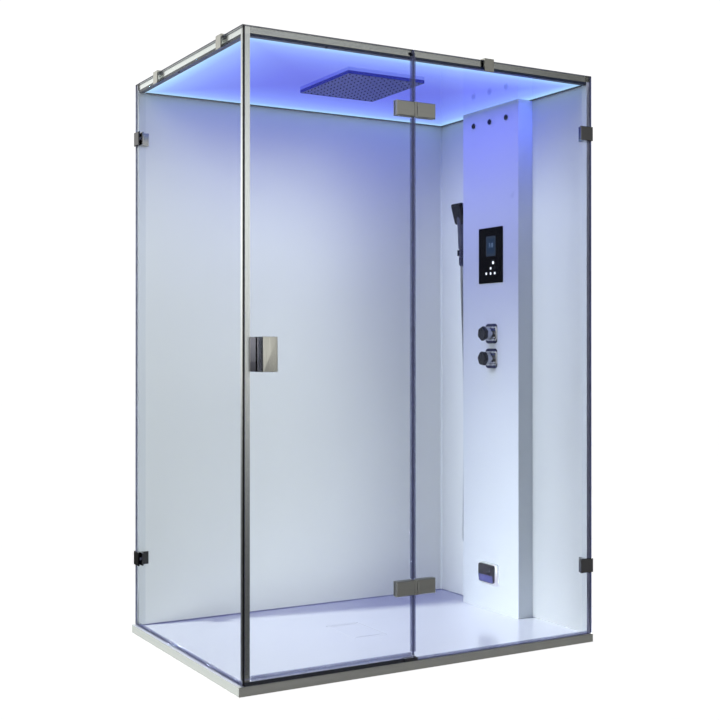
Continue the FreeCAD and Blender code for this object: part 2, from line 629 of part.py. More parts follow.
cz0, cz1 = d["ceil_low"], d["ceil_low"] + d["ceil_thick"]
cp = body("ceil_panel")
pad(cp, sketch(cp, "XY_Plane", [("poly", [(-705.2, -494.5), (725.2, -494.5), (725.2, 494.6), (-712.5, 494.6),
                                         (-712.5, -484.2), (-705.2, -484.2)]), ("circle", -d["rain_x"], -d["rain_y"], 11),
                                ("circle", 700, 118, 9)]), d["ceil_thick"])
place(cp, 0, 0, cz0 + 0.05)
keep(cp, "ceiling_panel")

ledz = (2177, 2187)
keep(group("leds", [
    box("led_f", -690, 700, -484.2, -482.2, *ledz), box("led_l", -702.2, -700.2, -475, 480, *ledz),
    box("led_b", -690, 700, 489.9, 491.9, *ledz), box("led_r", 720.3, 722.3, -470, 480, *ledz)]), "led_strips")
drv = body("driver")
pad(drv, sketch(drv, "XY_Plane", [rect(0, 0, 180, 50)]), 17)
fillet(drv, 4, along("z"))
place(drv, 470, 380, cz1 + 0.5)
keep(drv, "led_driver")
keep(box("roof", -702.2, 722.2, -484.2, 491.8, 2192.5, 2195.5), "ceiling_cover")

# Rain head: a shallow drilled face under a chamber with a stem through the ceiling.
rh_x0 = -d["rain_x"] - d["rain_len"] / 2
rh_y0 = -d["rain_y"] - d["rain_wid"] / 2
rf = body("rain_face")
pad(rf, sketch(rf, "XY_Plane", [rect(0, 0, d["rain_len"], d["rain_wid"])]), 2)
doc.recompute()
row = [("circle", 15 + (d["rain_len"] - 30) * (i / 11.0), 15, 1.8) for i in range(12)]
hp = pocket(rf, sketch(rf, "XY_Plane", row, 2), 2)
lp = rf.newObject("PartDesign::LinearPattern", "rain_rows")
lp.Originals = [hp]
lp.Direction = ([f for f in rf.Origin.OriginFeatures if f.Role == "Y_Axis"][0], [""])
lp.Length = num(d["rain_wid"] - 30)
bind(lp, "Length", d["rain_wid"] - 30)
lp.Occurrences = 14
rf.Tip = lp
doc.recompute()
place(rf, rh_x0, rh_y0, d["rain_low"])
keep(rf, "rain_head_face")

rb = body("rain_chamber")
pad(rb, sketch(rb, "XY_Plane", [rect(0, 0, d["rain_len"], d["rain_wid"])]), 9.8)
pad(rb, sketch(rb, "XY_Plane", [("circle", d["rain_len"] / 2, d["rain_wid"] / 2, 10)], 9.8), 23)
pocket(rb, sketch(rb, "XY_Plane", [rect(3, 3, d["rain_len"] - 3, d["rain_wid"] - 3)], 0), 6.8, rev=True)
pocket(rb, sketch(rb, "XY_Plane", [("circle", d["rain_len"] / 2, d["rain_wid"] / 2, 6)], 6.8), 20, rev=True)
place(rb, rh_x0, rh_y0, d["rain_low"] + 2)
keep(rb, "rain_head_body")

# ------------------------------------------------------------------ column
cs = d["col_skin"]
cx0 = d["col_face"]
cy0, cy1 = -d["col_right"], d["col_left"]
cxw = wall_in_x - 0.2
colb = body("col_u")
pad(colb, sketch(colb, "XY_Plane", [("poly", [
    (0, cy0), (cxw - cx0, cy0), (cxw - cx0, cy0 + cs), (cs, cy0 + cs),
    (cs, cy1 - cs), (cxw - cx0, cy1 - cs), (cxw - cx0, cy1), (0, cy1)])]), d["col_top"] - floor_z - 0.2)
fillet(colb, 3, lambda e: along("z")(e) and e.CenterOfMass.x < 1e-6)
place(colb, cx0, 0, floor_z + 0.2)
jets_y = [d["jet_mid"] + k * d["jet_pitch"] for k in (-1, 0, 1)]
tools = [box("cut_panel", 655, 664, d["panel_y"] - 76, d["panel_y"] + 76, d["panel_z"] - 109, d["panel_z"] + 109),
         box("cut_steam", 655, 664, d["steam_y"] - 40, d["steam_y"] + 40, d["steam_z"] - 30, d["steam_z"] + 30),
         cyl("cut_mix", 655, d["valve_y"], d["mixer_z"], "x", 14, 10),
         cyl("cut_div", 655, d["valve_y"], d["divert_z"], "x", 14, 10),
         cyl("cut_elbow", d["elbow_x"], cy1 - 6, d["elbow_z"], "y", 9.3, 10),
         cyl("cut_hold", d["hand_x"], cy1 - 6, 1565, "y", 4.2, 10)]
for i, jy in enumerate(jets_y):
    tools.append(cyl("cut_jet%d" % i, 655, jy, d["jet_z"], "x", 9.3, 10))
keep(cut("column", colb, tools), "column_shell")

br = []
for i, z in enumerate((300, 1000, 1950)):
    br.append(prism("br_a%d" % i, "XY_Plane", [(0, 0), (12, 0), (12, 16), (10, 16), (10, 2), (0, 2)], 40,
                    719, cy0 + cs + 0.1, z))
    br.append(prism("br_b%d" % i, "XY_Plane", [(0, 16), (12, 16), (12, 0), (10, 0), (10, 14), (0, 14)], 40,
                    719, cy1 - cs - 16.1, z + 100))
keep(group("col_br", br), "column_brackets")

cg = body("ctrl_glass")
pad(cg, sketch(cg, "YZ_Plane", [rect(-d["panel_wid"] / 2, -d["panel_tall"] / 2, d["panel_wid"] / 2, d["panel_tall"] / 2)]), 3)
fillet(cg, 3, along("x"))
fillet(cg, 0.5, lambda e: abs(e.CenterOfMass.x) < 1e-6, "Chamfer")
place(cg, cx0 - 3.1, d["panel_y"], d["panel_z"])
keep(cg, "control_glass")
ch = body("ctrl_box")
pad(ch, sketch(ch, "YZ_Plane", [rect(-74, -107, 74, 107)]), 32)
pocket(ch, sketch(ch, "YZ_Plane", [rect(-71.5, -104.5, 71.5, 104.5)], 0), 29.5, rev=True)
place(ch, cx0 + 0.1, d["panel_y"], d["panel_z"])
keep(ch, "control_housing")

vp = []
for i, z in enumerate((d["mixer_z"], d["divert_z"])):
    b = body("vplate%d" % i)
    hp2 = d["plate_size"] / 2
    pad(b, sketch(b, "YZ_Plane", [rect(-hp2, -hp2, hp2, hp2), ("circle", 0, 0, 15)]), 7.8)
    fillet(b, 18, lambda e: along("x")(e) and abs(e.CenterOfMass.y) > 30)
    fillet(b, 2.5, lambda e: abs(e.CenterOfMass.x) < 1e-6 and (abs(e.CenterOfMass.y) > 20 or abs(e.CenterOfMass.z) > 20))
    place(b, cx0 - 8, d["valve_y"], z)
    vp.append(b)
keep(group("vplates", vp), "valve_plates")


def valve(name, z, extra):
    parts = [cyl(name + "_b", 664, d["valve_y"], z, "x", 26, 48), cyl(name + "_s", 653, d["valve_y"], z, "x", 12, 12)]
    return cut(name, fuse(name + "_f", parts + extra), [cyl(name + "_bore", 650, d["valve_y"], z, "x",
                                                        d["stem_rad"] + d["run_clear"], 53)])


ins = []
for i, sy in enumerate((stub_y0, stub_y1)):
    ins += [cyl("stub_a%d" % i, 700, sy, d["mixer_z"], "x", 9, 48),
            cyl("stub_b%d" % i, 747.7, sy, d["mixer_z"], "x", d["inlet_rad"], 15.8)]
keep(valve("mixer", d["mixer_z"], ins + [cyl("mx_tube", 700, stub_y0 - 11, d["mixer_z"], "y", 12, d["inlet_pitch"] + 22)]),
     "mixer_valve")
keep(valve("divert", d["divert_z"], [
    cyl("dv_up", 700, d["valve_y"], d["divert_z"], "z", 8, d["mixer_z"] - d["divert_z"] - 26.3),
    cyl("dv_side", 700, d["valve_y"], d["divert_z"], "y", 8, 118 - 9.2 - d["valve_y"]),
    cyl("dv_low", d["elbow_x"], d["valve_y"], d["divert_z"] - 34, "z", 6.5, 20)]), "diverter_valve")

# Riser: up from the diverter, across to the jets, through the ceiling and over to the rain head.
jz, top = d["jet_z"], 2183
rp = [ball("rs_0", 700, 118, d["divert_z"], 9), cyl("rs_1", 700, 118, d["divert_z"], "z", 7, top - d["divert_z"]),
      ball("rs_2", 700, 118, top, 7), cyl("rs_3", -d["rain_x"], 118, top, "x", 7, d["rain_x"] + 700),
      ball("rs_4", -d["rain_x"], 118, top, 7),
      cyl("rs_5", -d["rain_x"], -d["rain_y"] + 9.8, top, "y", 7, 118 + d["rain_y"] - 9.8),
      cyl("rs_6", 700, jets_y[0], jz, "y", 6, d["jet_pitch"] * 2)]
for i, jy in enumerate(jets_y):
    rp += [ball("rs_b%d" % i, 700, jy, jz, 6), cyl("rs_j%d" % i, 680.1, jy, jz, "x", 5, 20)]
keep(cut("riser", fuse("riser_f", rp), [cyl("riser_stem", -d["rain_x"], -d["rain_y"], 2170, "z", 10.05, 30)]), "riser_pipe")

ex, ez = d["elbow_x"], d["elbow_z"]
keep(fuse("hose_feed", [cyl("hf_0", ex, d["valve_y"], 1000, "z", 6.5, d["divert_z"] - 34.1 - 1000),
                        ball("hf_1", ex, d["valve_y"], 1000, 6.5), cyl("hf_2", ex, d["valve_y"], 1000, "y", 6.5, 203 - d["valve_y"]),
                        ball("hf_3", ex, 203, 1000, 6.5), cyl("hf_4", ex, 203, ez, "z", 6.5, 1000 - ez),
                        ball("hf_5", ex, 203, ez, 6.5), cyl("hf_6", ex, 203, ez, "y", 6.5, 10.9)]), "hose_supply_pipe")

jh = []
# Section of a housing, turned about its axis: flange, sleeve, lock nut and the ball's seat.
seat = [(0, 6.2), (1.455, 6.2), (3.755, 7.258), (6.355, 7.485), (8.876, 6.81), (11.013, 5.313), (12.347, 3.504),
        (24, 3.5), (24, 9), (11.7, 9), (11.7, 12), (6.7, 12), (6.7, 9), (2.4, 9), (2.4, 11.4), (1.8, 12), (0, 12)]
for i, jy in enumerate(jets_y):
    b = body("jet_h%d" % i)
    sk = sketch(b, "XZ_Plane", [("poly", seat)])
    rv = b.newObject("PartDesign::Revolution", "jet_turn%d" % i)
    rv.Profile = sk
    rv.ReferenceAxis = (sk, ["H_Axis"])
    rv.Angle = 360
    sk.Visibility = False
    place(b, cx0 - 2.5, jy, jz)
    jh.append(b)
keep(group("jet_hs", jh), "jet_housings")
# Section of a nozzle: a ball with a spray hole along its axis.
ball_r, spray_r = 7.2, 1.6
tip_a = math.asin(spray_r / ball_r)
seg = [tip_a + (math.pi - 2 * tip_a) * k / 16.0 for k in range(17)]
nose = [(-ball_r * math.cos(a), ball_r * math.sin(a)) for a in seg]
for lab, i in (("jet_nozzle_right", 0), ("jet_nozzle_middle", 1), ("jet_nozzle_left", 2)):
    b = body(lab + "_ball")
    sk = sketch(b, "XZ_Plane", [("poly", nose)])
    rv = b.newObject("PartDesign::Revolution", lab + "_turn")
    rv.Profile = sk
    rv.ReferenceAxis = (sk, ["H_Axis"])
    rv.Angle = 360
    sk.Visibility = False
    place(b, cx0 + 3.2, jets_y[i], jz)
    keep(b, lab)


def knob(name, z):
    """A soft square grip on a round neck, with the spindle that runs in the valve."""
    b = body(name)
    s = d["knob_size"] / 2
    pad(b, sketch(b, "YZ_Plane", [rect(-s, -s, s, s)]), 16)
    fillet(b, 19, lambda e: along("x")(e))
    fillet(b, 2, lambda e: abs(e.CenterOfMass.x) < 1e-6 or abs(e.CenterOfMass.x - 16) < 1e-6)
    pad(b, sketch(b, "YZ_Plane", [("circle", 0, 0, 25)], 16), 29.5)
    pad(b, sketch(b, "YZ_Plane", [("circle", 0, 0, d["stem_rad"])], 45.5), 50)
    return place(b, d["knob_front"], d["valve_y"], z)


keep(knob("knob_m", d["mixer_z"]), "mixer_knob")
keep(knob("knob_d", d["divert_z"]), "diverter_knob")

# Steam: a slim boiler in the column and the outlet at its foot.
gen = body("boiler")
pad(gen, sketch(gen, "XY_Plane", [rect(0, 0, 58, 290)]), 600)
fillet(gen, 4, along("z"))
pad(gen, sketch(gen, "XY_Plane", [("circle", 30, 25, 10)], 600), 12)
pocket(gen, sketch(gen, "XY_Plane", [rect(2, 2, 56, 288)], 2), 596, rev=True)
pocket(gen, sketch(gen, "XY_Plane", [("circle", 30, 25, 6)], 612), 20)
place(gen, 666, -110, 300)
keep(gen, "steam_generator")
sy, sz = d["steam_y"], d["steam_z"]
keep(fuse("steam_run", [cyl("sp_0", 696, -85, 912.1, "z", 8, 30), ball("sp_1", 696, -85, 942.1, 8),
                        cyl("sp_2", 696, -140, 942.1, "y", 8, 55), ball("sp_3", 696, -140, 942.1, 8),
                        cyl("sp_4", 696, -140, sz, "z", 8, 942.1 - sz), ball("sp_5", 696, -140, sz, 8),
                        cyl("sp_6", 696, -140, sz, "y", 8, sy + 140 - 36.1)]), "steam_pipe")
ob = body("outlet_base")
pad(ob, sketch(ob, "YZ_Plane", [rect(-64, -44.5, 64, 44.5)]), 4)
fillet(ob, 9, along("x"))
pad(ob, sketch(ob, "YZ_Plane", [rect(-36, -26, 36, 26)], 4), 50)
pocket(ob, sketch(ob, "YZ_Plane", [rect(-33, -23, 33, 23)], 0), 51, rev=True)
place(ob, cx0 - 4.1, sy, sz)
keep(ob, "steam_outlet_body")
oc = body("outlet_cover")
pad(oc, sketch(oc, "YZ_Plane", [rect(-52, -38, 52, 38)]), 12)
fillet(oc, 8, along("x"))
fillet(oc, 3, lambda e: abs(e.CenterOfMass.x) < 1e-6)
pocket(oc, sketch(oc, "YZ_Plane", [rect(-46, -32, 46, 32)], 12), 9)
pocket(oc, sketch(oc, "XY_Plane", [rect(4, -40, 11, 40)], -28), 15)
place(oc, cx0 - 16.2, sy + 10, sz)
keep(oc, "steam_outlet_cover")

# ------------------------------------------------------------------ hand shower
px, py, nl = d["hand_x"], d["hand_y"], d["nut_low"]
ring_z0, ring_z1 = 1552, 1578
hold = cut("holder", fuse("hold_f", [
    cyl("hd_a", px, cy1 + 0.1, 1565, "y", 17, 5), cyl("hd_b", px, cy1 + 0.1, 1565, "y", 8, py - cy1 - 16),
    cyl("hd_c", px, py, ring_z0, "z", 19.5, ring_z1 - ring_z0), cyl("hd_e", px, cy1 - 9, 1565, "y", 4, 12)]),
    [cyl("hd_d", px, py, ring_z0 - 1, "z", 14, 30), box("hd_slot", px - 25, px, py - 8, py + 8, ring_z0 - 1, ring_z1 + 1)])
keep(hold, "handset_holder")

hb = body("handset_b")
# Side outline of the handle and the leaning head, then a wider head.
side = [(-14.7, 1579), (14, 1579), (11, 1695), (-12, 1778), (-30, 1772), (-15, 1700), (-19, 1688)]
pad(hb, sketch(hb, "XZ_Plane", [("poly", side)], -13), 26, rev=True)
head = [(-12.5, 1692), (11.6, 1698.7), (-13.4, 1788.3), (-37.5, 1781.6)]
pad(hb, sketch(hb, "XZ_Plane", [("poly", head)], 9), 70, rev=True)
doc.recompute()
place(hb, px, py - 26, 0)
hs_body = fuse("handset_f", [hb, cyl("hs_col", px, py, 1543, "z", 13, 36.5)])
keep(hs_body, "handset")

nut = cut("nut_o", fuse("nut_f", [cyl("nut_a", px, py, nl + 8, "z", 12.5, 27.9), doc.addObject("Part::Cone", "nut_b")]),
          [cyl("nut_c", px, py, nl + 20, "z", 9, 20)])
cone = doc.getObject("nut_b")
cone.Radius1, cone.Radius2, cone.Height = 8.0, 12.5, 8.0
place(cone, px, py, nl)
keep(nut, "hose_nut")

# Elbow on the column's far side: flange, body and the hose's lower nut.
keep(fuse("elbow", [cyl("el_a", ex, cy1 + 0.1, ez, "y", 16, 4), cyl("el_b", ex, cy1 + 0.1, ez, "y", 11.5, 10),
                    cyl("el_c", ex, cy1 + 0.1, ez, "y", 9.5, 15.4), cyl("el_d", ex, cy1 - 10.4, ez, "y", 9, 12)]), "hose_elbow")

# Hose: straight runs joined by tangent arcs, from the hand shower's nut to the elbow.
ROUTE = [(691.5, 281.5, 1507.0), (691.5, 281.5, 1450.0), (694.6, 281.9, 1350.0), (701.6, 282.8, 1200.0),
         (707.8, 284.2, 1030.0), (711.2, 286.2, 860.0), (712.0, 288.6, 690.0), (711.8, 290.4, 540.0),
         (711.2, 291.1, 440.0), (710.4, 291.0, 372.0), (709.6, 290.5, 328.0), (708.9, 289.85, 300.25),
         (708.2, 286.85, 289.05), (707.3, 281.05, 279.0), (706.3, 272.85, 270.8), (705.5, 262.8, 265.0),
         (705.0, 251.6, 262.0), (705.0, 240.0, 262.0)]


def hose_path(points):
    v = [Vector(*p) for p in points]
    edges, radii, start = [], [], v[0]
    for i in range(1, len(v) - 1):
        a, b = v[i] - v[i - 1], v[i + 1] - v[i]
        turn = a.getAngle(b)
        run = min(a.Length, b.Length)
        r = 0.45 * run / math.tan(turn / 2)
        t = 0.45 * run
        p0 = v[i] - Vector(a).normalize() * t
        p1 = v[i] + Vector(b).normalize() * t
        bis = (p0 + p1) * 0.5 - v[i]
        centre = v[i] + Vector(bis).normalize() * math.hypot(r, t)
        mid = centre - Vector(bis).normalize() * r
        if (p0 - start).Length > 1e-6:
            edges.append(Part.LineSegment(start, p0).toShape())
        edges.append(Part.Arc(p0, mid, p1).toShape())
        start = p1
        radii.append(r)
    edges.append(Part.LineSegment(start, v[-1]).toShape())
    return Part.Wire(edges), radii


wire, radii = hose_path(ROUTE)
section = Part.Wire([Part.Circle(Vector(*ROUTE[0]), Vector(*ROUTE[1]) - Vector(*ROUTE[0]), num(d["hose_dia"]) / 2).toShape()])
tube = wire.makePipeShell([section], True, True)
hose = doc.addObject("Part::Feature", "hose")
hose.Shape = tube
hose.Placement = Placement(Vector(0, 0, 0), Rotation())
keep(hose, "shower_hose")
print("hose length %.1f radii %s" % (wire.Length, " ".join("%.0f" % r for r in radii)))
want = math.pi * (num(d["hose_dia"]) / 2) ** 2 * wire.Length
print("hose volume %.0f section x length %.0f" % (tube.Volume, want))

doc.recompute()

# ------------------------------------------------------------------ check and write
bad = []
for o in doc.Objects:
    if "Invalid" in o.State or "Error" in o.State:
        bad.append("%s (%s): %s" % (o.Name, o.Label, o.State))
for label, o in PARTS:
    s = o.Shape
    if s.isNull() or not s.isValid() or not s.Solids:
        bad.append("%s: bad shape" % label)
if bad:
    raise RuntimeError("\n".join(bad))
if abs(tube.Volume - want) > 0.01 * want:
    raise RuntimeError("the hose's volume is off")

os.makedirs("parts", exist_ok=True)
for label, o in PARTS:
    o.Shape.exportStep(os.path.join("parts", label + ".step"))
print("%d parts" % len(PARTS))
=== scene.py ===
import bpy, bmesh, json, math, random
from mathutils import Vector, Matrix, Quaternion

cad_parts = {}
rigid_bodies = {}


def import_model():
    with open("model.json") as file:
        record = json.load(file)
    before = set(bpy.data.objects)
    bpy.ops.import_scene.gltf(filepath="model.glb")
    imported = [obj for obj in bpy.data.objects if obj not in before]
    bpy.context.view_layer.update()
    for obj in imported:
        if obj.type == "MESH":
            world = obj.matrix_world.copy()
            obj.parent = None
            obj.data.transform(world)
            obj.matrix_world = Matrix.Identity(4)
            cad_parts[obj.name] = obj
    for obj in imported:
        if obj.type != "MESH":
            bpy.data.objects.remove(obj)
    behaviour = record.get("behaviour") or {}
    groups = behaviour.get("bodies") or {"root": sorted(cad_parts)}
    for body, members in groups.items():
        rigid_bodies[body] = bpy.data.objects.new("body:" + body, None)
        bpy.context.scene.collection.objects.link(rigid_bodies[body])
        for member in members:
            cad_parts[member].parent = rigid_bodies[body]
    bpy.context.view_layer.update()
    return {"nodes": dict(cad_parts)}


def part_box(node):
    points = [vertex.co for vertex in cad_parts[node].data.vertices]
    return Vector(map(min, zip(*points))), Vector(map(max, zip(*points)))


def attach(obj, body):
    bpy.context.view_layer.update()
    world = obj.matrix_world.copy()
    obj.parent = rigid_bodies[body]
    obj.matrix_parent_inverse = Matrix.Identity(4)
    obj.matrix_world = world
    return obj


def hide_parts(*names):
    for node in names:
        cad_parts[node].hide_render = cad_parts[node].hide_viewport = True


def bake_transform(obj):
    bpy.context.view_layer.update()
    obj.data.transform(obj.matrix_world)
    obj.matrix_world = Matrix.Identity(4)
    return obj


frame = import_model()
nodes = frame["nodes"]
scene = bpy.context.scene
random.seed(7)

# ------------------------------------------------------------------ camera
YAW, PITCH = math.radians(30.1), math.radians(0.16)
cam_data = bpy.data.cameras.new("camera")
cam_data.sensor_width = 36.0
cam_data.lens = 1192.58 / 720 * 36.0
cam_data.shift_x = -2.11 / 720
cam_data.shift_y = -11.83 / 720
cam_data.clip_end = 60
cam = bpy.data.objects.new("camera", cam_data)
scene.collection.objects.link(cam)
cam.location = (-2.35182, -4.08472, 1.12724)
look = Vector((math.sin(YAW) * math.cos(PITCH), math.cos(YAW) * math.cos(PITCH), math.sin(PITCH)))
cam.rotation_mode = "QUATERNION"
cam.rotation_quaternion = look.to_track_quat("-Z", "Y")
scene.camera = cam

scene.view_settings.view_transform = "Standard"
scene.view_settings.look = "None"


# ------------------------------------------------------------------ helpers
def link(ob, body, replaces=()):
    if ob.name not in scene.collection.objects:
        scene.collection.objects.link(ob)
    if replaces:
        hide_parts(*replaces)
    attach(ob, body)
    return ob


def new_mesh(name, bm, mat, smooth=True):
    me = bpy.data.meshes.new(name)
    bmesh.ops.recalc_face_normals(bm, faces=bm.faces)
    bm.to_mesh(me)
    bm.free()
    if smooth:
        me.shade_smooth()
        me.set_sharp_from_angle(angle=math.radians(38))
    for m in (mat if isinstance(mat, (list, tuple)) else [mat]):
        me.materials.append(m)
    return bpy.data.objects.new(name, me)


def bevel_mod(ob, width, segments=2, angle=35):
    m = ob.modifiers.new("edge", "BEVEL")
    m.width = width
    m.segments = segments
    m.limit_method = "ANGLE"
    m.angle_limit = math.radians(angle)
    m.harden_normals = True
    return m


def rr(w, h, r, n=6):
    """Outline of a rounded rectangle about the middle, in mm."""
    r = min(r, w / 2, h / 2)
    out = []
    for cx, cy, a0 in ((w / 2 - r, -h / 2 + r, -90), (w / 2 - r, h / 2 - r, 0),
                       (-w / 2 + r, h / 2 - r, 90), (-w / 2 + r, -h / 2 + r, 180)):
        for k in range(n + 1):
            a = math.radians(a0 + 90 * k / n)
            out.append((cx + r * math.cos(a), cy + r * math.sin(a)))
    return out


def loft(bm, rings, start=True, end=True, mat=0):
    """Skin through rings of equal length, in mm."""
    vs = [[bm.verts.new((x / 1000, y / 1000, z / 1000)) for x, y, z in ring] for ring in rings]
    n = len(vs[0])
    made = []
    for a, b in zip(vs, vs[1:]):
        for k in range(n):
            made.append(bm.faces.new((a[k], a[(k + 1) % n], b[(k + 1) % n], b[k])))
    if start:
        made.append(bm.faces.new(list(reversed(vs[0]))))
    if end:
        made.append(bm.faces.new(vs[-1]))
    for f in made:
        f.material_index = mat
    return vs


def along_x(bm, cy, cz, spec, n=6, start=True, end=True, mat=0):
    """Loft of rounded rectangles (x, width, height, corner) stacked along X."""
    return loft(bm, [[(x, cy + a, cz + b) for a, b in rr(w, h, r, n)] for x, w, h, r in spec], start, end, mat)


def turned(bm, axis, c, profile, n=32, start=True, end=True, mat=0):
    """A turned shape: (place along the axis, radius) pairs about the centre c, in mm."""
    rings = []
    for t, r in profile:
        ring = []
        for k in range(n):
            a = 2 * math.pi * k / n
            u, v = r * math.cos(a), r * math.sin(a)
            ring.append({"x": (t, c[1] + u, c[2] + v), "y": (c[0] + u, t, c[2] + v), "z": (c[0] + u, c[1] + v, t)}[axis])
        rings.append(ring)
    return loft(bm, rings, start, end, mat)


def slab(bm, x0, x1, y0, y1, z0, z1, mat=0):
    return loft(bm, [[(x0, y0, z), (x1, y0, z), (x1, y1, z), (x0, y1, z)] for z in (z0, z1)], mat=mat)


def piece(name, bm, mat, body, replaces=(), bevel=0.0, segments=2, smooth=True):
    ob = new_mesh(name, bm, mat, smooth)
    link(ob, body, replaces)
    if bevel:
        bevel_mod(ob, bevel / 1000, segments)
    return ob


def ramp(nt, stops, src=None):
    r = nt.nodes.new("ShaderNodeValToRGB")
    els = r.color_ramp.elements
    while len(els) < len(stops):
        els.new(0.5)
    for e, (p, c) in zip(els, stops):
        e.position = p
        e.color = (c, c, c, 1) if isinstance(c, (int, float)) else (*c, 1)
    if src is not None:
        nt.links.new(src, r.inputs[0])
    return r


def hexc(h):
    """sRGB hex to linear."""
    out = []
    for i in (0, 2, 4):
        v = int(h[i:i + 2], 16) / 255
        out.append(v / 12.92 if v <= 0.04045 else ((v + 0.055) / 1.055) ** 2.4)
    return tuple(out)


def material(name, base, rough, metal=0.0, vary=0.06, rvar=0.08, scale=8.0, stretch=(1, 1, 1), bump=0.0,
             bump_scale=60.0, coat=0.0, ior=None, spec=None, transmission=0.0):
    """A principled surface whose colour, gloss and height vary a little over it."""
    m = bpy.data.materials.new(name)
    m.use_nodes = True
    nt = m.node_tree
    bsdf = nt.nodes["Principled BSDF"]
    bsdf.inputs["Metallic"].default_value = metal
    if coat:
        bsdf.inputs["Coat Weight"].default_value = coat
        bsdf.inputs["Coat Roughness"].default_value = 0.04
    if ior:
        bsdf.inputs["IOR"].default_value = ior
    if spec is not None:
        bsdf.inputs["Specular IOR Level"].default_value = spec
    if transmission:
        bsdf.inputs["Transmission Weight"].default_value = transmission
    tc = nt.nodes.new("ShaderNodeTexCoord")
    mp = nt.nodes.new("ShaderNodeMapping")
    mp.inputs["Scale"].default_value = stretch
    nt.links.new(tc.outputs["Object"], mp.inputs["Vector"])
    nz = nt.nodes.new("ShaderNodeTexNoise")
    nz.inputs["Scale"].default_value = scale
    nz.inputs["Detail"].default_value = 4
    nt.links.new(mp.outputs["Vector"], nz.inputs["Vector"])
    lo = tuple(max(0, c * (1 - vary)) for c in base)
    hi = tuple(min(1, c * (1 + vary)) for c in base)
    col = ramp(nt, [(0.3, lo), (0.7, hi)], nz.outputs["Fac"])
    nt.links.new(col.outputs["Color"], bsdf.inputs["Base Color"])
    nz2 = nt.nodes.new("ShaderNodeTexNoise")
    nz2.inputs["Scale"].default_value = bump_scale
    nz2.inputs["Detail"].default_value = 5
    nt.links.new(mp.outputs["Vector"], nz2.inputs["Vector"])
    rr = ramp(nt, [(0.25, max(0.0, rough - rvar / 2)), (0.75, min(1.0, rough + rvar / 2))], nz2.outputs["Fac"])
    nt.links.new(rr.outputs["Color"], bsdf.inputs["Roughness"])
    if bump:
        bp = nt.nodes.new("ShaderNodeBump")
        bp.inputs["Strength"].default_value = bump
        bp.inputs["Distance"].default_value = 0.0006
        nt.links.new(nz2.outputs["Fac"], bp.inputs["Height"])
        nt.links.new(bp.outputs["Normal"], bsdf.inputs["Normal"])
    return m


